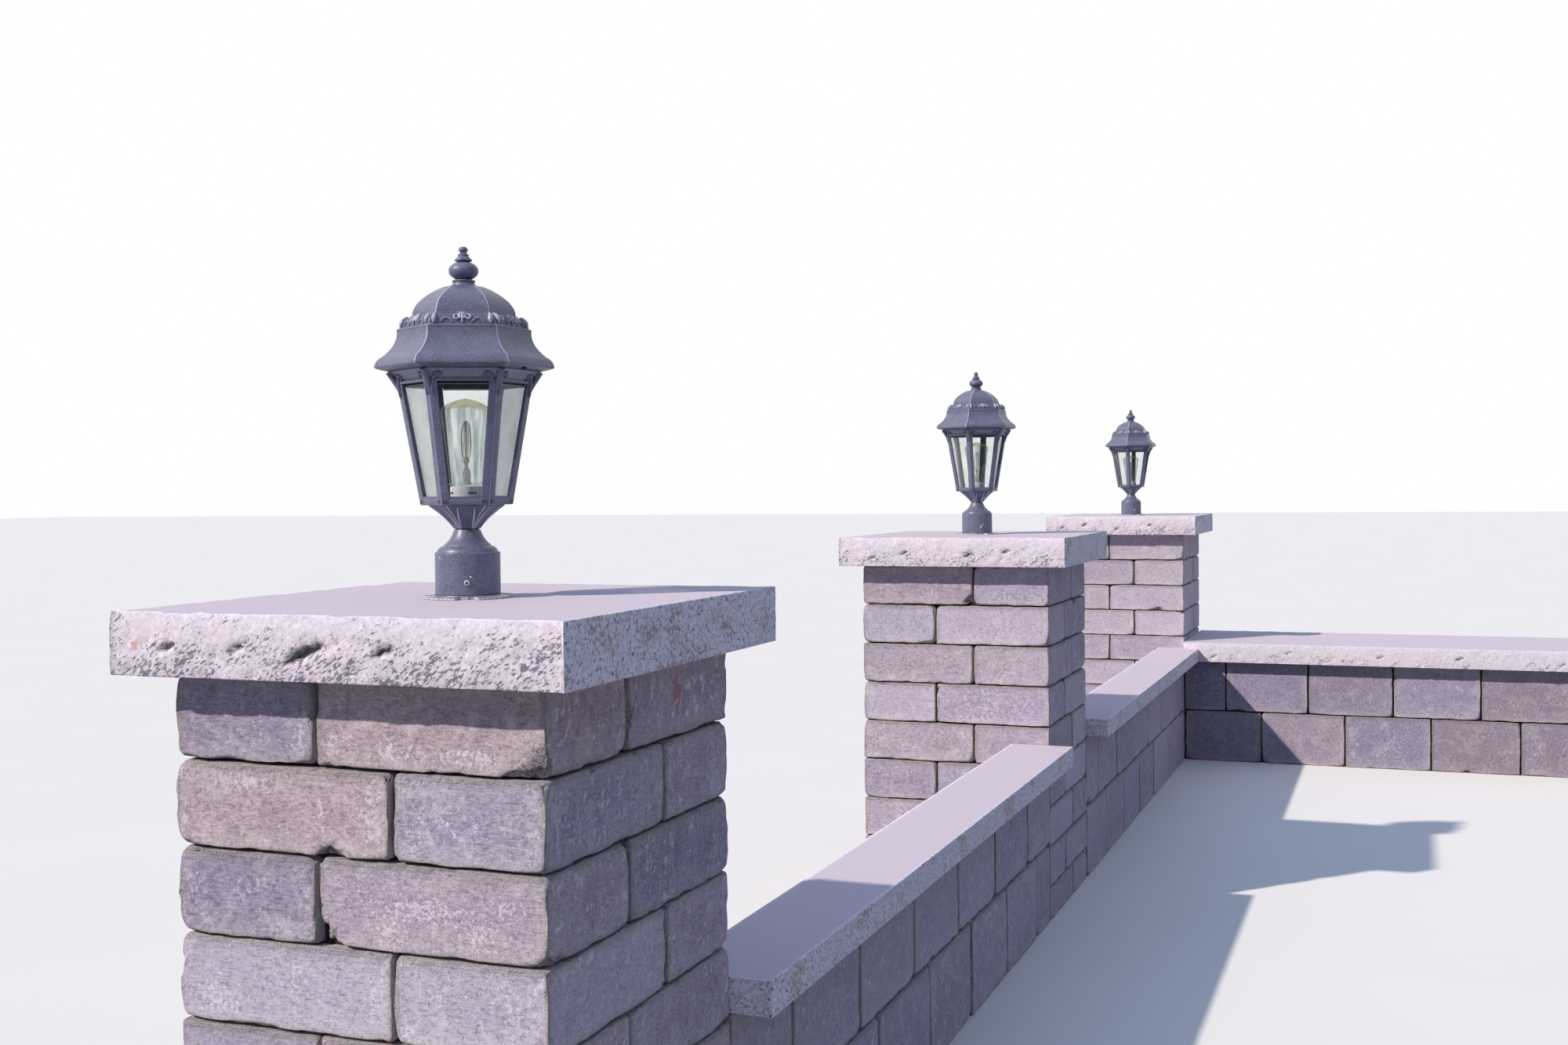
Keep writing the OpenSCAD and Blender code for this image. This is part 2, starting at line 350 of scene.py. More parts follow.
def material(name, **colours):
    return Nodes(bpy.data.materials.new(name), "ShaderNodeOutputMaterial", **colours)


def block_finish():
    """Tumbled concrete: sandy and lined, with pale drips and film, crumbled arrises and broken corners."""
    f = material(
        "tumbled_block", mauve=(172, 164, 196), tan=(196, 173, 175), cloud=(140, 128, 150),
        haze=(200, 192, 190), blotch=(126, 116, 130), pale=(228, 217, 229), dark_line=(118, 106, 126),
        pale_line=(226, 216, 226), dark_sand=(116, 106, 120), pale_sand=(224, 214, 222),
        gravel=(112, 104, 112), veil=(204, 196, 208), lime=(234, 225, 234), scar=(240, 232, 236),
        border=(222, 213, 214), crust=(232, 225, 219), crumb=(96, 92, 90), shade=(66, 60, 74),
        rust=(190, 98, 62), pit=(84, 80, 86), rubble=(224, 213, 218),
    )
    here = f.attribute("here", vector=True)
    worn, bloom, hang, broken = map(f.attribute, ("worn", "bloom", "hang", "broken"))
    stripes = f.noise(f.attribute("grain", vector=True), 430, 3, 0.65)
    clouds = f.noise(here, 17, 4, 0.6)
    sand = f.noise(here, 560, 4, 0.75)
    gravel = f.noise(here, 150, 5, 0.75)
    f.base(f.attribute("tone"), "mauve", "tan")
    f.paint(f.ranged(clouds, 0.38, 0.60, 0.38, 0.0), "cloud")
    f.paint(f.ranged(clouds, 0.52, 0.66, 0.0, 0.30), "haze")
    f.paint(f.spots(here, 75, 4, 0.65, 0.38, 0.47, 0.28, 0.0), "blotch")
    f.paint(f.attribute("pale"), "pale")
    f.paint(f.ranged(stripes, 0.34, 0.45, 0.50, 0.0), "dark_line")
    f.paint(f.ranged(stripes, 0.52, 0.63, 0.0, 0.40), "pale_line")
    f.paint(f.ranged(sand, 0.38, 0.45, 0.50, 0.0), "dark_sand")
    f.paint(f.ranged(sand, 0.55, 0.62, 0.0, 0.40), "pale_sand")
    f.paint(f.ranged(gravel, 0.35, 0.41, 0.30, 0.0), "gravel")
    # Whitish marks: specks in patches, drips and threads that hang on the ends of the blocks, film and grit
    specks = f.times(f.spots(here, 150, 4, 0.8, 0.57, 0.61), f.spots(here, 14, 2, 0.5, 0.47, 0.57))
    hanging = f.stretched(here, (1, 1, 0.15), (0.16, 0.12, 0))
    clusters = f.times(f.spots(here, 15, 3, 0.55, 0.50, 0.60), hang)
    drips = f.times(f.spots(hanging, 230, 3, 0.6, 0.60, 0.635), clusters)
    threads = f.times(f.spots(hanging, 460, 3, 0.6, 0.63, 0.66, 0.0, 0.8), clusters)
    film = f.spots(here, 34, 6, 0.78, 0.555, 0.64, 0.0, 0.55)
    grit = f.spots(here, 260, 2, 0.5, 0.68, 0.72, 0.0, 0.8)
    lime = f.plus(f.noise(here, 170, 4, 0.72), f.times(f.attribute("limed"), 0.15))
    lime = f.times(f.ranged(lime, 0.625, 0.655), 0.8)
    veils = f.spots(f.stretched(here, (1, 1, 0.10)), 75, 3, 0.6, 0.48, 0.62, 0.0, 0.45)
    f.paint(f.times(f.times(veils, hang), bloom), "veil")
    f.paint(f.most(f.times(f.most(specks, drips, threads, film, grit), bloom), lime), "lime")
    slanted = f.stretched(here, (1, 1, 0.55), (0.5, 0.2, 0))
    scarred = f.times(f.spots(here, 20, 2, 0.5, 0.48, 0.56), hang)
    f.paint(f.times(f.spots(slanted, 95, 4, 0.7, 0.59, 0.60), scarred), "scar")
    # Paler towards the edges, with dark crumbs on the arrises and a light crust on them that is also a
    # painted highlight
    f.paint(f.times(f.attribute("border"), f.spots(here, 60, 4, 0.7, 0.38, 0.58, 0.1, 0.5)), "border")
    arris = f.maths("POWER", worn, 1.7)
    f.paint(f.times(arris, f.spots(here, 110, 5, 0.8, 0.34, 0.46, 0.35, 1.0)), "crust")
    f.paint(f.times(worn, f.spots(here, 230, 4, 0.75, 0.36, 0.43, 0.55, 0.0)), "crumb")
    stone = f.blend(f.spots(here, 230, 5, 0.8, 0.41, 0.51), f.colours["pit"], f.colours["rubble"])
    f.colour = f.blend(broken, f.colour, stone)
    # Darker tone at random. On the wide wall the darkening is painted shade
    f.paint(f.attribute("shade"), "shade")
    f.paint(f.attribute("rust"), "rust")
    lines = f.bump(stripes, 0.0010, 0.4, f.bump(sand, 0.0012, 0.6))
    holes = f.bump(f.ranged(gravel, 0.30, 0.46), 0.0020, 0.5, lines)
    ragged = f.times(f.noise(here, 130, 5, 0.8), f.most(worn, broken))
    return f.surface(
        Roughness=f.ranged(sand, 0.4, 0.6, 0.84, 0.97),
        Specular_IOR_Level=0.15,
        Normal=f.bump(ragged, 0.010, 1.0, holes),
    )


def joint_finish():
    """Dark, dusty depth of the joints, darkened further as painted shade."""
    f = material("joint_shadow", dark=(34, 32, 30), dust=(66, 62, 56))
    here = f.coordinates()
    f.base(f.noise(here, 90, 4), "dark", "dust")
    return f.surface(Roughness=0.95, Specular_IOR_Level=0.1, Normal=f.bump(f.noise(here, 400, 3), 0.002))


def granite_finish():
    """Pale granite: faintly grained on top, with dark nicks on rock faces painted as the shade in small pits,
    and densely flecked where it is sawn.
    """
    f = material(
        "granite", grey=(219, 208, 217), white=(235, 226, 233), sawn=(250, 246, 253), mottle=(156, 154, 176),
        top=(207, 195, 200), fleck=(104, 100, 118), black=(44, 41, 54), glint=(250, 247, 251),
        nick=(98, 100, 122), brown=(150, 124, 92), gouge=(90, 86, 94), rust=(214, 126, 78),
    )
    here = f.coordinates()
    rock, worked = map(f.attribute, ("rock", "worked"))
    flecks = f.noise(here, 225, 4, 0.66)
    crystals = f.noise(here, 150, 4, 0.65)
    f.base(f.ranged(crystals, 0.40, 0.60), "grey", "white")
    # Sawn sides, mostly in shade, are made paler as painted light, and the tops, in sun, darker as painted
    # shade
    f.paint(f.times(worked, 0.6), "sawn")
    f.paint(f.times(f.ranged(crystals, 0.49, 0.53), f.times(worked, 0.35)), "mottle")
    f.paint(f.maths("SUBTRACT", 1.0, f.most(rock, worked)), "top")
    f.paint(f.times(f.ranged(flecks, 0.55, 0.57), f.most(f.times(worked, 0.52), 0.06)), "fleck")
    f.paint(f.times(f.times(f.ranged(flecks, 0.61, 0.63), f.most(worked, 0.05)), 0.8), "black")
    f.paint(f.times(f.spots(here, 190, 3, 0.6, 0.53, 0.56, 0.0, 0.85), worked), "glint")
    # Slanted dark nicks on the rock faces, painted as the shade in small pits, in groups, more of them low
    # down
    slanted = f.stretched(here, (0.42, 0.8, 1.0), (0, math.radians(32), 0))
    level = f.plus(f.noise(slanted, 300, 4, 0.66), f.times(f.noise(slanted, 36, 3, 0.6), 0.45))
    level = f.plus(level, f.ranged(f.attribute("rise"), 0.30, 1.0, 0.03, -0.12))
    level = f.plus(level, f.attribute("nicked"))
    f.paint(f.times(f.times(f.ranged(level, 0.80, 0.83), rock), 0.85), "nick")
    stains = f.spots(f.stretched(here, (0.5, 0.5, 1)), 24, 4, 0.6, 0.52, 0.62)
    f.paint(f.times(f.times(stains, f.ranged(crystals, 0.45, 0.58, 0.1, 0.7)), worked), "brown")
    # Gouges darker by their depth: painted shade in the scoops
    f.paint(f.times(f.attribute("deep"), 0.85), "gouge")
    f.paint(f.attribute("rust"), "rust")
    fine = f.bump(f.noise(here, 520, 4, 0.7), 0.0006, 0.5)
    coarse = f.bump(f.noise(here, 190, 4, 0.7), 0.0007, 0.25, fine)
    pitted = f.bump(f.times(f.ranged(level, 0.77, 0.83, 1.0, 0.0), rock), 0.0018, 0.7, coarse)
    return f.surface(
        Roughness=f.ranged(flecks, 0.3, 0.7, 0.92, 0.7),
        Specular_IOR_Level=0.2,
        Normal=f.bump(f.times(f.noise(here, 60, 5, 0.7), rock), 0.0022, 1.0, pitted),
    )


def metal_finish():
    """Black powder coat, bleached violet grey, with a fine texture and faint dust. Pale corners, leaves, cove
    and ornament are painted highlight, and hollows painted shade.
    """
    f = material(
        "black_powder_coat", coat=(80, 84, 106), dusty=(95, 99, 123), grain=(160, 163, 192),
        scuff=(176, 174, 194), corner=(206, 203, 222), hollow=(24, 26, 38),
    )
    here = f.coordinates()
    texture = f.noise(here, 620, 3, 0.65)
    dust = f.noise(here, 50, 5, 0.6)
    f.base(f.ranged(dust, 0.40, 0.66), "coat", "dusty")
    f.paint(f.ranged(texture, 0.46, 0.60, 0.0, 0.30), "grain")
    f.paint(f.spots(here, 420, 3, 0.6, 0.66, 0.70, 0.0, 0.5), "scuff")
    # Pale corners, leaves, rib edges, cove and ornament: painted highlight
    f.paint(f.attribute("corner"), "corner")
    # Inside of the roof and the band behind the ornament darker: painted shade
    f.paint(f.attribute("hollow"), "hollow")
    return f.surface(
        Metallic=0.0,
        Roughness=f.ranged(dust, 0.35, 0.7, 0.37, 0.48),
        Specular_IOR_Level=0.55,
        Normal=f.bump(texture, 0.00008, 0.4),
    )


def bare_finish():
    """Pale primer and bright metal where the coat has gone."""
    f = material("bare_metal", primer=(120, 118, 132), bright=(226, 220, 226))
    worn = f.noise(f.coordinates(), 260, 4, 0.7)
    f.base(f.ranged(worn, 0.38, 0.54), "primer", "bright")
    return f.surface(Metallic=0.2, Roughness=0.42, Normal=f.bump(worn, 0.0006))


def dark_finish():
    """Near black, as painted shade, for the insides of holes, slots and the neck, and the gaps under the
    scrolls and behind the top band.
    """
    f = material("dark_hole", dark=(18, 18, 22), less=(30, 30, 34))
    f.base(f.noise(f.coordinates(), 300), "dark", "less")
    return f.surface(Roughness=0.9)


def clear_finish(name, dark, light, film_colour, streaks=0.0, warm=None):
    """Clear glass: what is behind shows through, tinted between dark and light, under a thin film. The
    attribute film says how thick that is. Streaks is the scale of upright streaks. Warm is a second tint,
    which the attribute warm brings in. These colours are linear."""
    f = material(name)
    here = f.coordinates()
    spread = f.stretched(here, (1, 1, 0.035)) if streaks else here
    seen = f.blend(f.spots(spread, streaks or 30, 3, 0.6, 0.38, 0.58), dark, light)
    tint = f.blend(f.spots(here, 30, 4, 0.6, 0.38, 0.70, 0.0, 0.4), film_colour, light)
    if warm is not None:
        seen = f.blend(f.attribute("warm"), seen, warm)
        tint = f.blend(f.attribute("warm"), tint, warm)
    glossy = f.node("ShaderNodeBsdfPrincipled", {
        "Base Color": tint,
        "Roughness": 0.08,
        "Specular IOR Level": 0.5,
        "Normal": f.bump(f.noise(here, 60, 2), 0.0008, 0.4),
    })
    clear = f.node("ShaderNodeBsdfTransparent", {"Color": seen})
    facing = f.node("ShaderNodeLayerWeight", {"Blend": 0.25}).outputs["Fresnel"]
    film = f.attribute("film")
    mottled = f.times(film, f.spots(here, 24, 5, 0.65, 0.35, 0.65, 0.75, 1.25))
    seeds = f.times(f.spots(here, 420, 2, 0.5, 0.70, 0.73, 0.0, 0.5), film)
    share = f.plus(f.times(facing, 0.28), f.plus(mottled, seeds))
    return f.show(f.node("ShaderNodeMixShader", {0: share, 1: clear.outputs[0], 2: glossy.outputs[0]}))


def plain_finish(name, low, high, roughness, metallic=0.0):
    """A gently mottled solid colour."""
    f = material(name, low=low, high=high)
    mottle = f.noise(f.coordinates(), 120, 4, 0.6)
    f.base(f.ranged(mottle, 0.35, 0.65), "low", "high")
    return f.surface(Roughness=roughness, Metallic=metallic, Normal=f.bump(mottle, 0.0003, 0.3))


BLOCK = block_finish()
JOINT = joint_finish()
GRANITE = granite_finish()
METAL = metal_finish()
BARE = bare_finish()
HOLE = dark_finish()
PANE = clear_finish("clear_pane", (0.93, 0.96, 0.95), (0.98, 0.99, 0.99), (0.50, 0.48, 0.50))
AMBER = (0.95, 0.87, 0.62)
BULB = clear_finish("clear_bulb", (0.50, 0.56, 0.56), (0.97, 0.98, 0.98), (0.6, 0.6, 0.6), 110, AMBER)
CERAMIC = plain_finish("glazed_holder", (240, 236, 232), (252, 250, 248), 0.28)
WIRE = plain_finish("filament", (120, 92, 56), (178, 140, 88), 0.35, 0.8)
STEM = clear_finish("glass_stem", (0.70, 0.70, 0.66), (0.97, 0.96, 0.92), (0.75, 0.74, 0.70), 200)


# Tumbled blocks

EDGE_STEPS = np.array([0, 1.4, 3.6, 8, 15]) * MM
CORNERS = [2.0 * np.array(corner) - 1 for corner in np.ndindex(2, 2, 2)]
JOINT_GAP = 2.8 * MM
BED_GAP = 1.4 * MM
CORE_DEEP = 20 * MM
# Faces deeper than this in the core are left out, and the core of a pier starts this far above its foot
CORE_MARGIN = 4 * MM
# Rounding of the arrises in mm: its mean and its swing. Then what a corner adds, how far that reaches, and
# the limits of the whole
SOFT_MEAN, SOFT_SWING = 3.2, 2.4
SOFT_CORNER, SOFT_REACH = 15 * MM, 24 * MM
SOFT_LIMITS = (1.4 * MM, 14.5 * MM)
# How deep the faces are uneven, and how deep the nicks along the arrises are
RELIEF_DEEP, NICK_DEEP = 1.0 * MM, 3.6 * MM
# Chips: at least how many and below how many, then in mm the depth of the first and of the others, and how
# wide they spread
CHIP_COUNT, FIRST_CHIP, OTHER_CHIP, CHIP_SPREAD = (4, 9), (6, 14), (2.5, 6.5), (8, 34)
# How deep and how wide the worn corners are cut
WORN_DEEP, WORN_SPREAD = 9 * MM, 30 * MM
BLOCK_TILT = 0.006


def grid_lines(half, pitch):
    """Grid lines along one axis of a block, close together near its edges."""
    inner = half - EDGE_STEPS[-1]
    count = max(1, round(2 * inner / pitch))
    middle = np.linspace(-inner, inner, count + 1)
    return np.concatenate([EDGE_STEPS[:-1] - half, middle, half - EDGE_STEPS[-2::-1]])


def box_surface(lines):
    """Grid points on the six faces of a box, and its outward quads."""
    shape = [len(line) for line in lines]
    shell = np.zeros(shape, bool)
    for axis in range(3):
        ends = [slice(None)] * 3
        ends[axis] = [0, -1]
        shell[tuple(ends)] = True
    index = np.full(shape, -1)
    index[shell] = np.arange(shell.sum())
    points = np.stack([grid[shell] for grid in np.meshgrid(*lines, indexing="ij")], axis=1)
    quads = []
    for axis in range(3):
        for end in (0, -1):
            face = np.take(index, end, axis=axis)
            quad = np.stack([face[:-1, :-1], face[1:, :-1], face[1:, 1:], face[:-1, 1:]], axis=-1)
            quad = quad.reshape(-1, 4)
            quads.append(quad[:, ::-1] if (axis == 1) == (end == -1) else quad)
    return points, np.concatenate(quads)


def break_off(points, spot, outward, deep, spread, seed):
    """Cuts a shallow dish out of a block at a spot, and says how broken each point is."""
    away = np.linalg.norm(points - spot, axis=1)
    ragged = deep * (1 + 0.5 * rough(points, 12 * MM, seed, 2))
    over = (points - spot) @ outward + ragged - away ** 2 / (2 * spread)
    cut = np.clip(over, 0, None)
    return points - cut[:, None] * outward, np.clip(cut / (1.2 * MM), 0, 1)


def random_chips(random):
    """Chips as (place from -1 to 1 along each axis, depth, spread)."""
    chips = []
    for chip in range(random.integers(*CHIP_COUNT)):
        edge = np.sign(random.uniform(-1, 1, 3))
        edge[random.integers(0, 3)] *= random.uniform(0, 0.95)
        deep = random.uniform(*OTHER_CHIP if chip else FIRST_CHIP)
        chips.append((edge, deep, random.uniform(*CHIP_SPREAD)))
    return chips


def tumbled_block(low, high, seed, pitch, corner_breaks=()):
    """One block in the box from low to high, with soft uneven arrises, knocked corners and chips."""
    random = np.random.default_rng(seed)
    half = (high - low) / 2
    points, quads = box_surface([grid_lines(reach, pitch) for reach in half])
    field = points + random.uniform(-9, 9, 3)
    soft = (SOFT_MEAN + SOFT_SWING * rough(field, 40 * MM, seed, 2)) * MM
    for corner in CORNERS:
        away = np.linalg.norm(points - corner * half, axis=1)
        soft += random.uniform(0, 1) ** 1.6 * SOFT_CORNER * np.exp(-(away / SOFT_REACH) ** 2)
    soft = np.clip(soft, *SOFT_LIMITS)[:, None]
    inner = np.clip(points, soft - half, half - soft)
    outward = points - inner
    outward /= np.linalg.norm(outward, axis=1)[:, None]
    to_edge = np.sort(half - np.abs(points), axis=1)[:, 1]
    near_edge = np.exp(-to_edge / (5 * MM))
    relief = 0.5 + 0.5 * rough(field, 70 * MM, seed + 3, 2)
    nicks = near_edge * np.clip(rough(field, 15 * MM, seed + 5, 3) + 0.15, 0, None) ** 1.5
    shaped = inner + outward * (soft - (relief * RELIEF_DEEP + nicks * NICK_DEEP)[:, None])
    broken = np.clip(nicks * 1.7 - 0.55, 0, 0.85)
    for number, (edge, deep, spread) in enumerate(random_chips(random) + list(corner_breaks)):
        edge = np.asarray(edge, float)
        away = unit(np.where(np.abs(edge) > 0.98, edge, 0) + random.uniform(-0.25, 0.25, 3))
        shaped, cut = break_off(shaped, edge * half, away, deep * MM, spread * MM, seed + 11 + number)
        broken = np.maximum(broken, cut)
    for number, corner in enumerate(CORNERS):
        deep = random.uniform(0, 1) ** 1.5 * WORN_DEEP
        shaped, _ = break_off(shaped, corner * half, unit(corner), deep, WORN_SPREAD, seed + 31 + number)
    tilt = Matrix.Rotation(random.uniform(-BLOCK_TILT, BLOCK_TILT), 3, Vector(random.uniform(-1, 1, 3)))
    shaped = shaped @ np.array(tilt).T
    shaped *= np.minimum(1, half / np.abs(shaped).max(axis=0))
    marks = {
        "here": field,
        "worn": np.clip(near_edge * 1.3, 0, 1),
        "border": np.exp(-to_edge / (16 * MM)),
        "hang": np.clip(np.abs(outward[:, 0]) * 3 - 1.5, 0, 1),
        "broken": broken,
    }
    return shaped + (low + high) / 2, quads, marks


# A rust spot on the side of the first pier
RUST_SPOT = np.array([0.253, 0.092, 0.874])
# Ranges of how tan a block is, and of how strong its whitish marks are
TAN_SHARES, BLOOM_SHARES = (0.05, 0.85), (0.45, 1)


class Masonry:
    """Blocks around a dark core that stands as painted shade behind the joints, gathered into one piece."""

    def __init__(self, seed, pitch, low, high, shades=(0.0, 0.13), pales=(0.0, 0.0)):
        self.shape = Shape()
        self.random = np.random.default_rng(seed)
        self.pitch = pitch
        deep = CORE_DEEP * np.array([1, 1, 0]) + CORE_MARGIN
        self.inner_low = np.array([low[0], low[1], -1]) + deep
        self.inner_high = np.array([high[0], high[1], 9]) - deep
        self.shades = shades
        self.pales = pales

    def lay(self, low, high, seed, stretch, tone=None, corner_breaks=(), limed=()):
        """Lays one block. Stretch says how much finer its lines are on each axis. Tone is (share of tan,
        how dark, how pale). Limed holds whitish patches on its front, as (across, up, length, height) in
        millimetres. The faces that the core hides are left out."""
        points, quads, marks = tumbled_block(low, high, seed, self.pitch, corner_breaks)
        away = np.linalg.norm((points - RUST_SPOT) * (1, 1, 0.55), axis=1)
        spotted = rough(points, 8 * MM, 3, 2) > -0.4
        marks["rust"] = np.clip(1.3 - away / (10 * MM), 0, 0.75) * spotted
        hidden = ((points > self.inner_low) & (points < self.inner_high)).all(axis=1)
        quads = quads[~hidden[quads].all(axis=1)]
        if tone is None:
            tone = [self.random.uniform(*span) for span in (TAN_SHARES, self.shades, self.pales)]
        even = dict(zip(("tone", "shade", "pale"), tone), bloom=self.random.uniform(*BLOOM_SHARES))
        marks.update((name, np.full(len(points), value)) for name, value in even.items())
        marks["grain"] = marks["here"] * np.array(stretch) / max(stretch)
        marks["limed"] = np.zeros(len(points))
        for across, up, long, tall in limed:
            away = ((points[:, 0] - low[0]) / MM - across) / long
            rise = ((points[:, 2] - low[2]) / MM - up) / tall
            near = np.exp(-away ** 2 - rise ** 2) * (points[:, 1] < low[1] + 12 * MM)
            marks["limed"] = np.maximum(marks["limed"], near)
        self.shape.add(points, [quads], 0, **marks)

    def finish(self, node, name, core_low, core_high):
        """Adds the plain dark core behind the joints, which is painted shade, and places the piece."""
        points, quads = box_surface([np.array(ends) for ends in zip(core_low, core_high)])
        self.shape.add(points, [quads], 1)
        place(name, self.shape.mesh(name, [BLOCK, JOINT]), node, "block")


BLOCK_LONG = 305 * MM
COURSE_TALL = 104 * MM
# A cut course lower than this at the foot of a pier joins the course above it
COURSE_LEAST = 10 * MM
# How far the faces of single blocks lie behind the face of the pier
PIER_INSETS = (0.3, 2.6)
PIER_PITCHES = (11 * MM, 15 * MM, 22 * MM, 22 * MM)
FIRST_PALES, OTHER_PALES = (0.0, 0.2), (0.05, 0.75)
PIER_STRETCH, WALL_STRETCH = (1, 1, 5), (5, 5, 1)
# Tone of each block in a course of the first pier, from its front block round to its left end block:
# m is mauve, d is dark mauve, p is pale mauve, t is tan, and b is between
FIRST_PIER_TONES = ["tbmd", "tmbm", "bdmd", "pmbp", "tbbm", "pmtt", "mbtm", "bmbt", "tmbm"]
TONES = {
    "m": (0.22, 0.07, 0.10),
    "d": (0.20, 0.18, 0.02),
    "p": (0.15, 0.0, 0.42),
    "b": (0.55, 0.04, 0.12),
    "t": (0.95, 0.03, 0.06),
}
# Large breaks that show, as (pier, course from the top, block): (corner of the block, depth, spread)
CORNER_BREAKS = {
    (1, 0, 0): [((1, -1, -1), 20, 46), ((0.88, -1, -0.75), 6, 90), ((0.74, -1, -1), 10, 14)],
    (1, 1, 0): [((0.45, -1, -1), 14, 16), ((1, -1, 1), 10, 40), ((0.3, -1, 1), 5, 6)],
    (1, 2, 0): [((1, -1, 1), 11, 26), ((1, -1, -1), 14, 34), ((-1, -1, -1), 21, 90)],
    (2, 0, 0): [((1, -1, -1), 22, 60)],
}
# Whitish patches on block fronts, as (pier, course, block): (across, up, length, height)
LIMED = {
    (1, 0, 3): [(170, 22, 6, 34), (186, 40, 4, 30), (60, 60, 20, 3)],
    (1, 0, 0): [(30, 30, 26, 12), (110, 20, 40, 10), (200, 22, 46, 12)],
    (1, 1, 0): [(92, 84, 60, 9), (118, 30, 6, 22), (210, 52, 8, 26), (278, 50, 16, 46), (12, 30, 10, 40)],
    (1, 1, 1): [(60, 20, 40, 10), (190, 30, 8, 26)],
    (1, 2, 3): [(150, 20, 30, 8)],
    (1, 2, 0): [(140, 52, 70, 16), (96, 24, 22, 22), (215, 30, 26, 26), (250, 62, 22, 10), (40, 84, 34, 4)],
    (1, 3, 0): [(60, 30, 40, 22), (170, 62, 12, 30), (276, 50, 10, 40)],
    (1, 3, 1): [(30, 76, 12, 10), (34, 40, 8, 20), (120, 40, 8, 14)],
}


def pier_bond(half, turned):
    """The four blocks of a pier course, as two low corners and two high corners each."""
    long, short = BLOCK_LONG, 2 * half - BLOCK_LONG
    first = [
        ((half - long, -half), (half, -half + short)),
        ((half - short, -half + short), (half, half)),
        ((-half, half - short), (half - short, half)),
        ((-half, -half), (half - long, half - short)),
    ]
    if not turned:
        return first
    return [((-high[0], low[1]), (-low[0], high[1])) for low, high in first]


def build_pier(number):
    node = f"pier_{number}_shaft"
    low, high = (np.array(corner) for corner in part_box(node))
    middle = (low + high) / 2
    half = (high[0] - low[0]) / 2
    pales = FIRST_PALES if number == 1 else OTHER_PALES
    masonry = Masonry(40 + number, PIER_PITCHES[number - 1], low, high, pales=pales)
    gap = JOINT_GAP / 2
    top = high[2]
    course = 0
    while top > low[2] + 1 * MM:
        foot = max(low[2], top - COURSE_TALL)
        if foot - low[2] < COURSE_LEAST:
            foot = low[2]
        for side, (start, end) in enumerate(pier_bond(half, (course + number) % 2 == 0)):
            box_low = np.array([start[0] + middle[0], start[1] + middle[1], foot])
            box_high = np.array([end[0] + middle[0], end[1] + middle[1], top])
            inset = masonry.random.uniform(*PIER_INSETS, (2, 3)) * MM
            at_low = np.isclose(box_low, [low[0], low[1], -1])
            at_high = np.isclose(box_high, [high[0], high[1], 9])
            block_low = np.where(at_low, box_low + inset[0], box_low + gap)
            block_high = np.where(at_high, box_high - inset[1], box_high - gap)
            block_low[2] = foot + (0.0 if foot == low[2] else BED_GAP / 2)
            block_high[2] = top - BED_GAP / 2
            tone = TONES[FIRST_PIER_TONES[course][side]] if number == 1 else None
            seed = number * 1000 + course * 10 + side
            breaks, limed = (table.get((number, course, side), ()) for table in (CORNER_BREAKS, LIMED))
            masonry.lay(block_low, block_high, seed, PIER_STRETCH, tone, breaks, limed)
        top = foot
        course += 1
    core_low = low + (CORE_DEEP, CORE_DEEP, CORE_MARGIN)
    core_high = high - (CORE_DEEP, CORE_DEEP, 2 * MM)
    masonry.finish(node, f"pier_{number}_masonry", core_low, core_high)


WALL_COURSES = 2
WALL_PITCH = 16 * MM
WALL_BLOCK_DEEP = 102 * MM
# The last block of a course is at least this long
LAST_BLOCK = 60 * MM
# Half the upright joints, and how far single blocks lie behind the face, in mm
WALL_GAPS, WALL_INSETS = (1.3, 2.6), (0.2, 2.4)
# Ranges of (how dark, how pale) for the blocks of each wall. The wide wall's darker range is painted shade
WALL_SHADES = {
    "first_wall": ((0.0, 0.06), (0.15, 0.60)),
    "second_wall": ((0.0, 0.08), (0.15, 0.60)),
    "wide_wall": ((0.14, 0.36), (0.0, 0.12)),
}
# Lengths of the first block in the top course and in the bottom one, and the pitch of the joints
WALL_BONDS = {
    "first_wall": ((240, 344), 322),
    "second_wall": ((196, 330), 322),
    "wide_wall": ((163, 302), 318),
}


def running_bond(start, end, first, pitch):
    """Joints from start to end, after a first block of a given length."""
    joints = [start]
    joint = start + first
    while joint < end - LAST_BLOCK:
        joints.append(joint)
        joint += pitch
    return joints + [end]


def build_wall(node, along, leaves):
    """A wall of two courses. Leaves are its rows of blocks across its thickness, as (low, high) places."""
    low, high = (np.array(corner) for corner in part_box(node))
    across = 1 - along
    on_run = [along == 0, along == 1, False]
    number = sum(map(ord, node))
    ends = np.where(on_run, -99, low), np.where(on_run, 99, high)
    masonry = Masonry(number, WALL_PITCH, *ends, *WALL_SHADES[node])
    firsts, pitch = WALL_BONDS[node]
    tall = (high[2] - low[2]) / WALL_COURSES
    seed = number * 50
    for leaf_low, leaf_high in leaves:
        for course, first in enumerate(firsts):
            top = high[2] - course * tall
            joints = running_bond(low[along], high[along], first * MM, pitch * MM)
            for start, end in zip(joints[:-1], joints[1:]):
                gap = masonry.random.uniform(*WALL_GAPS) * MM
                inset = masonry.random.uniform(*WALL_INSETS, 2) * MM
                block_low, block_high = np.zeros((2, 3))
                block_low[along], block_high[along] = start + gap, end - gap
                block_low[across], block_high[across] = leaf_low + inset[0], leaf_high - inset[1]
                block_low[2] = top - tall + (BED_GAP if course == 0 else 0)
                block_high[2] = top - BED_GAP
                seed += 1
                masonry.lay(block_low, block_high, seed, WALL_STRETCH)
    deep = np.array([CORE_DEEP, CORE_DEEP, 3 * MM])
    deep[along] = 2 * MM
    masonry.finish(node, f"{node}_masonry", low + deep, high - deep)


# Granite

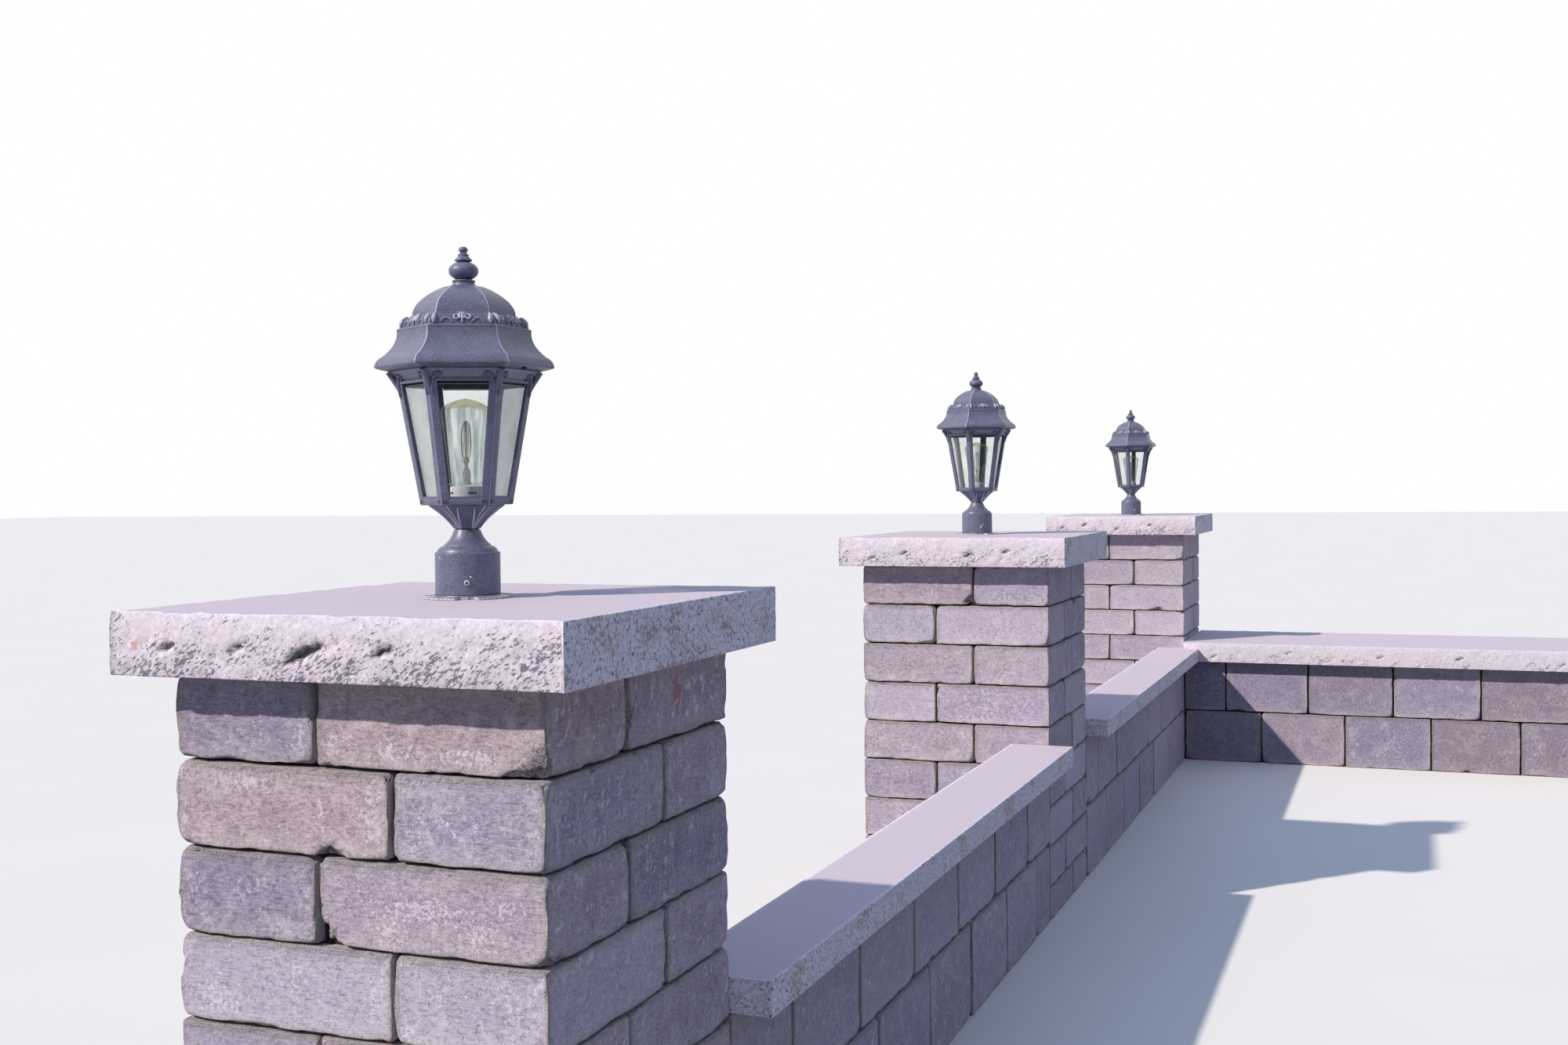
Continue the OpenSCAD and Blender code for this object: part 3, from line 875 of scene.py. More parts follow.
SAW_SOFT = 0.8 * MM
SAW_DEEP = 0.25 * MM
# Depths of the rock faces of the caps and of the wide slab
ROCK_DEEP, SLAB_DEEP = 9 * MM, 5 * MM
# Distances of the points on the caps, on the narrow slabs and on the wide one, and what sawn edges
# multiply them by
ROCK_PITCH, NARROW_PITCH, WIDE_PITCH = 4.5 * MM, 5 * MM, 6 * MM
SAWN_COARSER = 2.2
# Where points lie close together, at the ends of an edge and at its top and bottom
END_STEPS = np.array([0, 1.5, 4.0]) * MM
END_LONG = 8 * MM
ARRIS_STEPS = np.array([0, 0.6, 1.6, 3.2]) * MM
# Nothing is cut deeper than this
DEEPEST = 14.5 * MM
PIT_TURN = math.radians(28)
PIT_LONG = 2.4
# How much gouges rise along their length, then the least and the most half length, half height and depth
# in mm
GOUGE_LEAN = 0.36
GOUGE_LEAST, GOUGE_MOST = (11, 3, 3.5), (18, 5, 7)
# How far a new edge's noise lies from the last edge's
EDGE_APART = 5
# How much of the nibbled arris the top rings lose, from the top down
NIBBLED = (1.0, 0.8, 0.5)
# Rings on the flat top and on the underside, in from the edge
FLAT_REACHES = (9 * MM, 26 * MM)
# How many more or fewer dark nicks, painted as shade in small pits, the rock face of a slab has
NICKED, NICKED_ELSE = {"pier_1_cap": 0.0, "wide_wall_slab": -0.08}, -0.05
FIRST_SCOOPS = ((84, 36, 32, 8, 7), (182, 37, 34, 7, 6), (277, 33, 54, 12, 10), (384, 37, 30, 8, 7))
# Rust on the first cap, from its low corner
CAP_RUST = np.array([40, 4, 38]) * MM


def rock_relief(run, height, share, seed):
    """Depth of the rock face from 0 to about 1.5, and its slanted pits in metres, at places along it."""
    flat = np.column_stack([run, np.full(len(run), height), np.zeros(len(run))])
    broad = rough(flat, 48 * MM, seed, 2)
    small = rough(flat, 13 * MM, seed + 4, 3)
    face = 0.42 + 0.14 * broad + 0.07 * small + 0.50 * share ** 5 + 0.18 * (1 - share) ** 7
    slanted = np.column_stack([
        (run * math.cos(PIT_TURN) + height * math.sin(PIT_TURN)) / PIT_LONG,
        height * math.cos(PIT_TURN) - run * math.sin(PIT_TURN),
        np.zeros(len(run)),
    ])
    pits = np.clip(rough(slanted, 10 * MM, seed + 6, 2) - 0.45, 0, None) * 4 * MM
    return np.clip(face, 0, 1.5), pits * np.clip(1.2 - share, 0.1, 1)


def place_gouges(lengths, low, high, worked, every, scoops, seed):
    """Gouges as (distance along all edges, height, half length, half height, depth) in metres."""
    random = np.random.default_rng(seed)
    gouges = []
    for edge, length in enumerate(lengths):
        if scoops and edge == 0:
            for far, up, long, wide, deep in scoops:
                gouges.append((far * MM, low + up * MM, long * MM / 2, wide * MM / 2, deep * MM))
        elif worked[edge]:
            for number in range(int(length / every)):
                far = (number + random.uniform(0.2, 0.8)) * every + edge * EDGE_APART
                rise = low + (high - low) * random.uniform(0.3, 0.6)
                gouges.append((far, rise, *random.uniform(GOUGE_LEAST, GOUGE_MOST) * MM))
    return gouges


def gouged(run, height, gouges):
    """How deep the gouges are at places along one ring."""
    sunk = np.zeros(len(run))
    for far, rise, long, wide, deep in gouges:
        away = run - far
        across = height - rise - GOUGE_LEAN * away
        inside = np.clip(1 - (away / long) ** 2 - (across / wide) ** 2, 0, 1)
        sunk = np.maximum(sunk, np.sqrt(inside) * deep)
    return sunk


def stone_slab(outline, low, high, worked, pitch, seed, gouge_every=0.13, scoops=None):
    """A slab on an anticlockwise outline. Worked holds the depth of the rock face on each edge, and 0 is a
    sawn edge. Scoops are (distance along the first edge, height, length, width, depth) in millimetres."""
    corners = np.asarray(outline, float)
    ways = np.roll(corners, -1, axis=0) - corners
    lengths = np.linalg.norm(ways, axis=1)
    ways = ways / lengths[:, None]
    normals = np.column_stack([-ways[:, 1], ways[:, 0]])
    drifts = np.roll(normals, 1, axis=0) + normals
    spots, inward, depth, along, run = [], [], [], [], []
    for edge, length in enumerate(lengths):
        inside = length - 2 * END_LONG
        steps = max(2, round(inside / (pitch if worked[edge] else pitch * SAWN_COARSER)))
        middle = END_LONG + inside * np.linspace(0, 1, steps)
        shares = np.concatenate([END_STEPS, middle, length - END_STEPS[:0:-1]]) / length
        spots.append(corners[edge] + ways[edge] * (shares * length)[:, None])
        after = drifts[(edge + 1) % len(corners)]
        inward.append(drifts[edge] * (1 - shares)[:, None] + after * shares[:, None])
        level = np.full(len(shares), worked[edge])
        level[0] = max(worked[edge], worked[edge - 1]) * 0.6
        depth.append(level)
        along.append(np.minimum(shares, 1 - shares) * length)
        run.append(shares * length + edge * EDGE_APART)
    spots, inward, depth, along, run = map(np.concatenate, (spots, inward, depth, along, run))
    gouges = place_gouges(lengths, low, high, worked, gouge_every, scoops, seed)
    around = len(spots)
    row_pitch = pitch if max(worked) else pitch * SAWN_COARSER
    rows = max(4, round((high - low - 2 * ARRIS_STEPS[-1]) / row_pitch))
    middle = np.linspace(low + ARRIS_STEPS[-1], high - ARRIS_STEPS[-1], rows)[1:-1]
    heights = np.concatenate([low + ARRIS_STEPS, middle, high - ARRIS_STEPS[::-1]])
    rings, deeps = [], []
    for height in heights:
        face, pits = rock_relief(run, height, (height - low) / (high - low), seed)
        scooped = gouged(run, height, gouges)
        sunk = np.maximum(scooped, pits) * (depth > 0)
        edge_gap = max(0.0, SAW_SOFT - min(height - low, high - height))
        edge_in = SAW_SOFT - math.sqrt(SAW_SOFT ** 2 - edge_gap ** 2)
        soft_corner = np.clip(1.2 * MM - along, 0, None) ** 2 / (4 * MM)
        saw_marks = rough(np.column_stack([run, np.full(around, height), along]), 14 * MM, seed + 4, 2)
        sawn = SAW_DEEP * np.clip(1 + saw_marks, 0, None) * (depth == 0)
        total = np.minimum(depth * face + sunk + edge_in + sawn + soft_corner, DEEPEST)
        rings.append(np.column_stack([spots + inward * total[:, None], np.full(around, height)]))
        # How far into a gouge each point lies, which darkens it as painted shade
        deeps.append(np.clip(scooped / (3.0 * MM), 0, 1))
    rings = np.array(rings)
    nibble = (depth > 0) * np.clip(rough(rings[-1], 22 * MM, seed + 9, 2) + 0.2, 0, None) * 2.5 * MM
    for ring, share in enumerate(NIBBLED):
        rings[-1 - ring, :, 2] -= nibble * share
    inner = []
    for height in (low, high):
        for reach in FLAT_REACHES:
            flat = spots + inward * (reach + ROCK_DEEP * (depth > 0))[:, None]
            inner.append(np.column_stack([flat, np.full(around, height)]))
    rings = np.concatenate([[inner[1], inner[0]], rings, [inner[2], inner[3]]])
    off = np.zeros((2, around))
    shares = np.repeat((heights - low)[:, None] / (high - low), around, axis=1)
    marks = {
        "rock": np.concatenate([off, np.tile(depth > 0, (len(heights), 1)), off]),
        "deep": np.concatenate([off, deeps, off]),
        "worked": np.concatenate([off + 1, np.tile(depth == 0, (len(heights), 1)), off]),
        "rise": np.concatenate([off, shares, off + 1]),
    }
    points, faces = skin(rings)
    return points, faces, {name: values.ravel() for name, values in marks.items()}


def build_slab(name, node, worked, pitch, seed, outline=None, **options):
    low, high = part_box(node)
    if outline is None:
        outline = [(low[0], low[1]), (high[0], low[1]), (high[0], high[1]), (low[0], high[1])]
    points, faces, marks = stone_slab(outline, low[2], high[2], worked, pitch, seed, **options)
    if node == "pier_1_cap":
        away = np.linalg.norm(points - (np.array(low) + CAP_RUST), axis=1)
        spotted = rough(points, 7 * MM, seed, 2) > -0.35
        marks["rust"] = np.clip(1.1 - away / (9 * MM), 0, 0.6) * spotted
    marks["nicked"] = np.full(len(points), NICKED.get(node, NICKED_ELSE))
    shape = Shape().add(points, faces, 0, **marks)
    place(name, shape.mesh(name, [GRANITE], 50), node, "granite")


def build_caps():
    for number in range(1, PIERS + 1):
        worked = [ROCK_DEEP, 0, ROCK_DEEP, ROCK_DEEP]
        scoops = FIRST_SCOOPS if number == 1 else None
        name = f"pier_{number}_capstone"
        build_slab(name, f"pier_{number}_cap", worked, ROCK_PITCH, 70 + number, scoops=scoops)
    build_slab("first_wall_capstone", "first_wall_cap", [0] * 4, NARROW_PITCH, 81)
    low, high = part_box("second_wall_cap")
    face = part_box("second_wall")[1][0]
    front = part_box("wide_wall_slab")[0][1]
    outline = [(low[0], low[1]), (high[0], low[1]), (high[0], front), (face, front)]
    outline += [(face, high[1]), (low[0], high[1])]
    build_slab("second_wall_capstone", "second_wall_cap", [0] * 6, NARROW_PITCH, 82, outline)
    worked = [SLAB_DEEP, 0, SLAB_DEEP, 0]
    build_slab("wide_wall_slabstone", "wide_wall_slab", worked, WIDE_PITCH, 83, gouge_every=0.3)


# Lantern. Heights are above the pier cap, in mm, and a reach is the radius, or half the width across corners.

CIRCLE = round_ring(72)


def evenly(steps, start=0, end=1):
    return np.linspace(start, end, steps)


def swept(steps, start, end):
    """Angles from start to end, which are in degrees."""
    return np.radians(np.linspace(start, end, steps))


def on_side(side, across, out, height):
    """A point on one side of the lantern, from its middle: across it, out from the axis, and up."""
    turn = side * SIDE_TURN
    return np.array([
        out * math.cos(turn) - across * math.sin(turn),
        out * math.sin(turn) + across * math.cos(turn),
        height,
    ])


def corner_marks(rings, least, wide):
    """Marks the softened corners of a six-sided turning over a width in mm, beyond the least reach in mm, for
    a painted highlight.
    """
    points = rings.reshape(-1, 3)
    turns = np.degrees(np.arctan2(points[:, 1], points[:, 0])) - 30
    to_corner = np.radians(np.abs((turns + 30) % 60 - 30))
    reach = np.hypot(points[:, 0], points[:, 1])
    return ((to_corner * reach < wide / 2 * MM) & (reach > least * MM)) * 1.0


# Plate: its rim, the half width and depth of its four notches, and where they lie
RIM, NOTCH_HALF, NOTCH_DEEP = 57.9, 14.0, 14.0
NOTCH_TURNS = (-60, 30, 120, 210)
# Rows of the plate as (how far in from the rim, height, how deep the notch is), then plain (reach, height)
PLATE_ROWS = ((1.2, 0, 1), (0.2, 0.6, 1), (0, 2.6, 1), (0.9, 3.4, 1), (7, 3.6, 0.57))
PLATE_STEP = ((42.6, 3.8), (42.0, 4.9))
BARE_ROWS = (2, 4)


def build_plate():
    """Thin round plate with four wide notches, bare and chipped at its rim."""
    steps = 240
    turns = np.linspace(0, ALL_ROUND, steps, endpoint=False)
    notch = np.zeros(steps)
    for start in NOTCH_TURNS:
        gap = (turns - math.radians(start) + math.pi) % ALL_ROUND - math.pi
        notch = np.maximum(notch, np.clip((NOTCH_HALF - np.abs(gap) * RIM) / 1.5 + 0.5, 0, 1))
    around = np.column_stack([np.cos(turns), np.sin(turns), np.zeros(steps)])
    ragged = np.clip(0.8 * rough(around * 0.06, 12 * MM, 5, 2), 0, None)
    rows = [(RIM - inset - notch * NOTCH_DEEP * share - ragged, up) for inset, up, share in PLATE_ROWS]
    rings = []
    for reach, height in rows + list(PLATE_STEP):
        reach = np.broadcast_to(reach, steps)
        rings.append(np.column_stack([around[:, :2] * reach[:, None], np.full(steps, height)]))
    rings = np.array(rings) * MM
    rings = np.concatenate([[rings[0] * (0.2, 0.2, 1)], rings, [rings[-1] * (0.2, 0.2, 1)]])
    points, faces = skin(rings)
    bare = np.isin(np.repeat(np.arange(len(rings) - 1), steps), BARE_ROWS)
    shape = Shape().add(points, [faces[0][~bare], faces[1], faces[2]], 0)
    shape.add(points, [faces[0][bare]], 1)
    return shape.mesh("lantern_plate_cast", [METAL, BARE], 40)


FITTER = [
    (0.5, 55.8), (37.4, 55.8), (37.4, 5), (38.5, 5), (40.8, 5), (41.4, 5.6), (41.4, 57.4), (41.1, 58.3),
    (40.2, 58.9), (38.7, 59.3), (38.3, 60.0), (37.8, 61.4), (36.6, 63.2), (34.6, 64.9), (31.9, 66.3),
    (30.2, 66.8), (29.8, 67.4), (29.3, 68.2), (27.6, 69.6), (25.6, 71.6), (23.1, 74.4), (21.0, 77.6),
    (19.1, 81.2), (17.7, 84.6), (16.9, 86.4), (16.5, 87.4), (15.4, 87.8), (0.5, 87.8),
]
NECK = [(0.5, 87.2), (14.6, 87.2), (14.6, 89.2), (0.5, 89.2)]
SCREW_TURN, SCREW_UP = math.radians(-60), 21.0
# Chips in the coat of the fitter, as (turn, height, radius)
FITTER_CHIPS = (
    (-0.93, 28.5, 1.5), (-0.86, 26.0, 0.8), (-2.02, 53.0, 1.5), (-1.96, 51.2, 0.8), (-2.3, 40.0, 0.6),
)


def cup_reach(share):
    """Reach of the cup at a share of its height."""
    return 17.2 + 30.4 * share ** 1.3


def build_fitter():
    """Fitter with its set screw, the ringed bell and the leafed six-sided cup."""
    # The neck is a dark ring in painted shade
    shape = Shape().wrap(lathe(FITTER, CIRCLE)).wrap(lathe(NECK, CIRCLE), 2)
    flare = [(cup_reach(t), 88.6 + 29.0 * t) for t in evenly(11, 0.06)]
    rim = [(48.0, 118.2), (47.6, 119.0), (0.5, 119.0)]
    cup = lathe([(0.5, 88.6), (16.6, 88.6), (17.4, 89.3)] + flare + rim, six_ring(1.0 * MM, 4, 4))
    # Pale corners of the cup: painted highlight
    shape.wrap(cup, 0, corner=corner_marks(cup, 16, 1.6) * 0.8)
    for corner in range(SIDES):
        for hand in (-1, 1):
            path, widths = [], []
            for t in evenly(12, 0.04, 0.97):
                swing = hand * (0.10 + 0.17 * t ** 1.2)
                flat = FLAT_SHARE / math.cos(abs(swing) - math.pi / 6)
                spot = cup_reach(t) * flat * ray(CORNER_TURN + corner * SIDE_TURN + swing)
                path.append(spot + (0, 0, 88.0 + 29.0 * t))
                widths.append(0.5 + 0.8 * math.sin(math.pi * min(1, t * 1.05)))
            # Pale leaves: painted highlight
            shape.rod(path, widths, 0, 6, corner=0.8)
    out = ray(SCREW_TURN)
    spot = np.array([0, 0, SCREW_UP])
    shape.rod([spot + out * reach for reach in (39.0, 41.9, 42.6, 42.9)], [3.4, 3.5, 3.3, 2.6], 1, 20)
    # Dark socket of the screw: painted shade
    shape.rod([spot + out * reach for reach in (42.7, 43.0)], [1.7, 1.7], 2, 6)
    for turn, rise, size in FITTER_CHIPS:
        spot = 41.1 * ray(turn) + (0, 0, rise)
        shape.rod([spot, spot + (ray(turn) + (0, 0, 0.2)) * 0.5], [size, size * 0.6], 1, 7)
    return shape.mesh("lantern_fitter_cast", [METAL, BARE, HOLE], 13)


CAGE_LOW, CAGE_HIGH = 119.0, 289.0
CAGE_FOOT, CAGE_TOP = 58.4, 87.8
COVE_LOW, COVE_HIGH, COVE_OUT = 279.5, 288.7, 8.4
# How much shorter half a side gets for each step inwards
SIDE_SLOPE = 0.577


def cage_reach(height):
    """Half width across the corners of the cage at a height."""
    return CAGE_FOOT + (CAGE_TOP - CAGE_FOOT) * (height - CAGE_LOW) / (CAGE_HIGH - CAGE_LOW)


def cove_out(height):
    """How far the cove under the eaves stands out of the cage's side at a height."""
    return COVE_OUT * np.clip((height - COVE_LOW) / (COVE_HIGH - COVE_LOW), 0, 1) ** 1.5


def flat_ring(side, height, outer, face, inner, back):
    """A level four-sided section across one side: half widths and distances of its face and its back."""
    corners = ((-outer, face), (outer, face), (inner, back), (-inner, back))
    return [on_side(side, across, out, height) for across, out in corners]


def side_bar(shape, side, sections, finish=0, light=0.0):
    """A bar across one side of the cage. Sections are (height, how far its face stands out of the side, how
    far in its back lies, how far its ends stop short of the corners). Light is how much painted highlight it
    gets."""
    rings = []
    for height, out, back, gap in sections:
        reach = cage_reach(height)
        flat, half = reach * FLAT_SHARE, reach / 2 - gap
        outer, inner = half + out * SIDE_SLOPE, half - back * SIDE_SLOPE
        rings.append(flat_ring(side, height, outer, flat + out, inner, flat - back))
    shape.wrap(np.array(rings) * MM, finish, corner=light)


# Corner ribs: how far they reach along each side, how thick they are and how soft their edges are
RIB_WIDE, RIB_THICK, RIB_SOFT = 10.2, 5, 0.7


def rib_ring(corner, height):
    """Section of a corner rib, with softened outer edges."""
    turn = CORNER_TURN + corner * SIDE_TURN
    out, left, right = ray(turn), ray(turn + 2 * SIDE_TURN), ray(turn - 2 * SIDE_TURN)
    tip = out * cage_reach(height)
    inner = out * (cage_reach(height) - RIB_THICK / FLAT_SHARE)
    end = (inner - tip) * RIB_SOFT / RIB_THICK
    back = RIB_WIDE - RIB_THICK * SIDE_SLOPE
    ring = [
        tip + right * RIB_SOFT,
        tip - out * RIB_SOFT * 0.25,
        tip + left * RIB_SOFT,
        tip + left * (RIB_WIDE - RIB_SOFT),
        tip + left * RIB_WIDE + end,
        inner + left * back,
        inner,
        inner + right * back,
        tip + right * RIB_WIDE + end,
        tip + right * (RIB_WIDE - RIB_SOFT),
    ]
    return np.array(ring) + (0, 0, height)


# Scroll of the brackets: (distance from the corner, height, half thickness)
SCROLL = (
    (3.8, 256.0, 1.2), (4.2, 262.0, 1.9), (4.8, 268.0, 2.3), (5.9, 273.6, 2.4), (7.8, 278.6, 2.4),
    (10.2, 282.2, 2.4), (12.8, 283.6, 2.4), (15.2, 282.8, 2.3), (16.6, 280.6, 2.1), (16.4, 278.4, 1.9),
    (14.8, 277.4, 1.6), (13.6, 278.2, 1.2),
)
# The part of the scroll that has a dark groove, a rod in painted shade, and the groove's half thickness
GROOVED, GROOVE = slice(4, 9), [0.8, 1.4, 1.6, 1.4, 0.7]
# Trunk of the brackets: (height, how far its outer edge stands out of the corner, half thickness)
TRUNK = (
    (252.0, -0.6, 3.0), (260.0, 0.2, 3.3), (265.0, 1.0, 3.5), (270.0, 3.0, 3.6), (275.0, 5.2, 3.7),
    (280.0, 7.6, 3.9), (284.5, 9.8, 4.2), (288.6, 11.8, 4.6),
)
# Bars across each side: (sections as side_bar takes them, material number)
BARS_BELOW = (
    ([(126.2, -0.7, 4.4, 8), (130.0, -0.7, 4.4, 8)], 0),
    ([(275.6, -1.0, 4.6, 3), (COVE_LOW, -1.0, 4.6, 3)], 0),
    ([(273.0, 0.5, 4.9, 4), (276.0, 0.5, 4.9, 4)], 0),
)
BARS_ABOVE = (
    # The first bar is a dark band in painted shade behind the top band
    ([(270.8, -5.2, 6.6, 8), (277.0, -5.2, 6.6, 8)], 2),
    ([(269.6, -4.6, 6.0, 8), (270.6, -4.6, 6.0, 8)], 0),
)
# Chips in the coat of the cage's front, as (across, height, radius)
CAGE_CHIPS = ((8.0, 277.0, 0.9), (11.5, 276.0, 0.6), (-33.0, 262.0, 0.8))


def add_bracket(shape, corner):
    """The trunk under one corner of the eaves, with a grooved scroll on each side of it."""
    out = ray(CORNER_TURN + corner * SIDE_TURN)
    path = [out * (cage_reach(h) + stand - thick) + (0, 0, h) for h, stand, thick in TRUNK]
    shape.rod(path, [thick for _, _, thick in TRUNK], 0, 10)
    for hand, side in ((-1, corner), (1, corner + 1)):
        path, groove = [], []
        for away, height, _ in SCROLL:
            reach = cage_reach(height)
            across = hand * (away - reach / 2)
            flat = reach * FLAT_SHARE + cove_out(height)
            path.append(on_side(side, across, flat + 0.9, height))
            groove.append(on_side(side, across - hand * 1.2, flat + 0.6, height + 3.0))
        shape.rod(path, [thick for _, _, thick in SCROLL])
        # Dark groove rod: painted shade
        shape.rod(groove[GROOVED], GROOVE, 2, 6)


def build_cage():
    """Six corner ribs between a floor and a coved top band, with scrolled brackets under the eaves."""
    shape = Shape()
    floor = [(0.5, 119.0), (57.2, 119.0), (58.2, 119.5), (cage_reach(121), 121), (cage_reach(125.6), 125.6)]
    floor += [(cage_reach(126.6) - 0.6, 126.6), (cage_reach(127) - 2.6, 127), (0.5, 127)]
    floor = lathe(floor, six_ring(0.8 * MM, 3, 2))
    # Pale corners of the floor: painted highlight
    shape.wrap(floor, 0, corner=corner_marks(floor, 50, 0.9) * 0.5)
    for corner in range(SIDES):
        rings = np.array([rib_ring(corner, h) for h in np.linspace(121, CAGE_HIGH - 0.2, 8)]) * MM
        # Pale outer edge of each rib: painted highlight
        shape.wrap(rings, 0, corner=np.tile([0, 1, 0, 0, 0, 0, 0, 0, 0, 0], len(rings)) * 0.6)
    cove = [(h, cove_out(h), 3.0, 0.0) for h in np.linspace(COVE_LOW, COVE_HIGH, 6)]
    cove = [(COVE_LOW - 0.7, 0.2, 4.6, 0), (COVE_LOW, 0.6, 4.6, 0)] + cove[1:]
    for side in range(SIDES):
        for sections, finish in BARS_BELOW:
            side_bar(shape, side, sections, finish)
        # The cove, lit from below, is lightened as painted light
        side_bar(shape, side, cove, 0, 0.20)
        for sections, finish in BARS_ABOVE:
            side_bar(shape, side, sections, finish)
    for corner in range(SIDES):
        add_bracket(shape, corner)
    for across, height, size in CAGE_CHIPS:
        spot = on_side(0, across, cage_reach(height) * FLAT_SHARE + 0.1, height)
        shape.rod([spot, spot + (0.7, 0, 0)], [size, size * 0.6], 1, 7)
    return shape.mesh("lantern_cage_cast", [METAL, BARE, HOLE], 32)


# How thick the dust on the pane of each side is
PANE_FILM = (0.13, 0.04, 0.04, 0.04, 0.10, 0.03)
# How far behind the side of the cage a pane's face and back lie, and how far short of the corners it ends
PANE_FACE, PANE_BACK, PANE_GAP = 5.2, 8.0, 5.6


def build_panes():
    """Six flat panes behind the ribs, some dustier than others."""
    shape = Shape()
    for side in range(SIDES):
        rings = []
        for height in np.linspace(127.3, 275.8, 9):
            reach = cage_reach(height)
            flat, edge = reach * FLAT_SHARE, reach / 2 - PANE_GAP
            rings.append(flat_ring(side, height, edge, flat - PANE_FACE, edge, flat - PANE_BACK))
        shape.wrap(np.array(rings) * MM, 0, film=PANE_FILM[side])
    return shape.mesh("lantern_panes_cast", [PANE], 30)


LEDGE_UP, BAND_UP = 343.4, 358.4
# Outline of the roof from the middle of its top out to the eaves and in along the soffit, then of its inside
ROOF_OUTSIDE = (
    [(0.5, 398), (22.6, 398), (24.0, 397.7)]
    + [(24.0 + 41.6 * math.cos(a) ** 1.8, 359.8 + 38.0 * math.sin(a)) for a in swept(12, 80, 0)]
    + [(66.8, 359.9), (67.5, 359.4), (67.5, 358.6)]
    + [(67.6 + 14.0 * math.sin(a), LEDGE_UP + 15.0 * math.cos(a)) for a in swept(8, 8, 86)]
    + [(82.4, 343.2), (84.4, 342.9), (85.1, 342.2), (85.2, 341.0)]
    + [(84.7 + 20.0 * t ** 2.2, 339.8 - 32.8 * t) for t in evenly(13)]
    + [(105.7, 307.0), (106.4, 306.3), (109.2, 304.2), (111.4, 301.4), (112.9, 298.2), (113.6, 295.8)]
    + [(113.5, 294.4), (112.8, 293.5), (111.6, 293.0), (106.0, 291.3), (99.0, 289.6), (93.0, 289.15)]
    + [(88.4, 289.1)]
)
ROOF_INSIDE = [
    (86.4, 290.6), (82.0, 300.0), (78.0, 328.0), (76.0, 338.0), (62.0, 356.0), (56.0, 368.0), (40.0, 384.0),
    (22.0, 394.0), (0.5, 394.0),
]
# Half thickness of the cast ornament along its leaves, lobes and stems
LEAF = [1.0, 2.2, 3.0, 3.1, 2.7, 2.3, 2.0, 1.5, 0.6]
LOBE = [0.9, 1.7, 2.3, 2.4, 1.9, 0.9]
STALK = [0.6, 1.0, 1.3, 1.5, 1.7, 1.9, 1.9, 1.0]


def band_point(side, across, up, out):
    """A point on the ornament band of one side, from its middle, with up from 0 to 1."""
    turn = math.radians(86 - 78 * up)
    reach = 67.6 + 14.0 * math.sin(turn)
    return on_side(side, across, reach * FLAT_SHARE + out, LEDGE_UP + 15.0 * math.cos(turn))


def band_ornaments(side):
    """The ornament on one side of the band, as (path, half thickness along it, how much painted highlight it
    gets).
    """
    ornaments = []
    for hand in (-1, 1):
        curl = zip(swept(16, 205, -170), np.linspace(4.5, 1.7, 16))
        curl = [(7.0 + size * math.cos(a), 0.42 + size * math.sin(a) / 16.5, 0.5) for a, size in curl]
        lobe = [(0.7 + 2.6 * t, 0.70 + 0.25 * t, 0.9) for t in evenly(6)]
        wave = [(11.5 + 15.5 * t, 0.06 + 0.30 * math.sin(math.pi * t) ** 0.8, 0.4) for t in evenly(14)]
        leaf = [(35.0 - 2.2 * t, 0.04 + 0.90 * t, 0.8) for t in evenly(9)]
        for path, radii, light in (
            (curl, np.linspace(2.2, 1.6, 16), 0.40),
            (lobe, LOBE, 0.50),
            (wave, 0.9 + 0.6 * np.sin(np.pi * evenly(14)), 0.20),
            (leaf, LEAF, 0.60),
        ):
            ornaments.append(([band_point(side, hand * x, up, out) for x, up, out in path], radii, light))
    stalk = [band_point(side, 0, 0.03 + 0.70 * t, 1.0) for t in evenly(8)]
    return ornaments + [(stalk, STALK, 0.50)]


def build_roof():
    """Six-sided roof with rolled eaves, an ornament band and a domed top."""
    outline = (ROOF_OUTSIDE + ROOF_INSIDE)[::-1]
    rings = lathe(outline, six_ring(1.1 * MM, 4, 3))
    # The inside of the roof, and less so the band behind the ornament, are darkened as painted shade
    on_band = [0.3 * (LEDGE_UP + 1 < up < BAND_UP - 0.5) for _, up in outline[len(ROOF_INSIDE):]]
    hollow = np.repeat([1.0] * len(ROOF_INSIDE) + on_band, rings.shape[1])
    # Pale corners of the roof: painted highlight
    shape = Shape().wrap(rings, 0, corner=corner_marks(rings, 24, 1.3) * (1 - hollow) * 0.6, hollow=hollow)
    for side in range(SIDES):
        for path, radii, light in band_ornaments(side):
            # Ornament lightened as painted highlight
            shape.rod(path, radii, corner=light)
    # Two holes in the soffit, as dark plugs in painted shade
    for side in (0, 3):
        spot = on_side(side, -9.0, 91.0, 0)
        shape.rod([spot + (0, 0, 289.2), spot + (0, 0, 292.0)], [3.0, 3.0], 1, 14)
    return shape.mesh("lantern_roof_cast", [METAL, HOLE], 13)


FINIAL = (
    [(0.4, 397.9), (15.0, 397.9), (15.4, 398.6), (15.0, 400.4), (13.6, 401.6), (13.4, 402.6)]
    + [(14.4, 403.4), (14.7, 404.6), (14.0, 405.7), (12.2, 406.2)]
    + [(18.9 * math.cos(a), 417.7 + 12.3 * math.sin(a)) for a in swept(16, -62, 68)]
    + [(8.4, 429.6), (10.6, 430.2), (11.1, 431.2), (10.8, 432.4), (9.4, 433.3), (8.2, 434.6)]
    + [(7.3, 436.0), (6.6, 436.8), (7.0, 437.7), (6.7, 438.9), (5.2, 439.7), (4.5, 440.6)]
    + [(6.0 * math.cos(a), 444.7 + 4.2 * math.sin(a)) for a in swept(9, -50, 84)]
    + [(0.3, 448.9)]
)


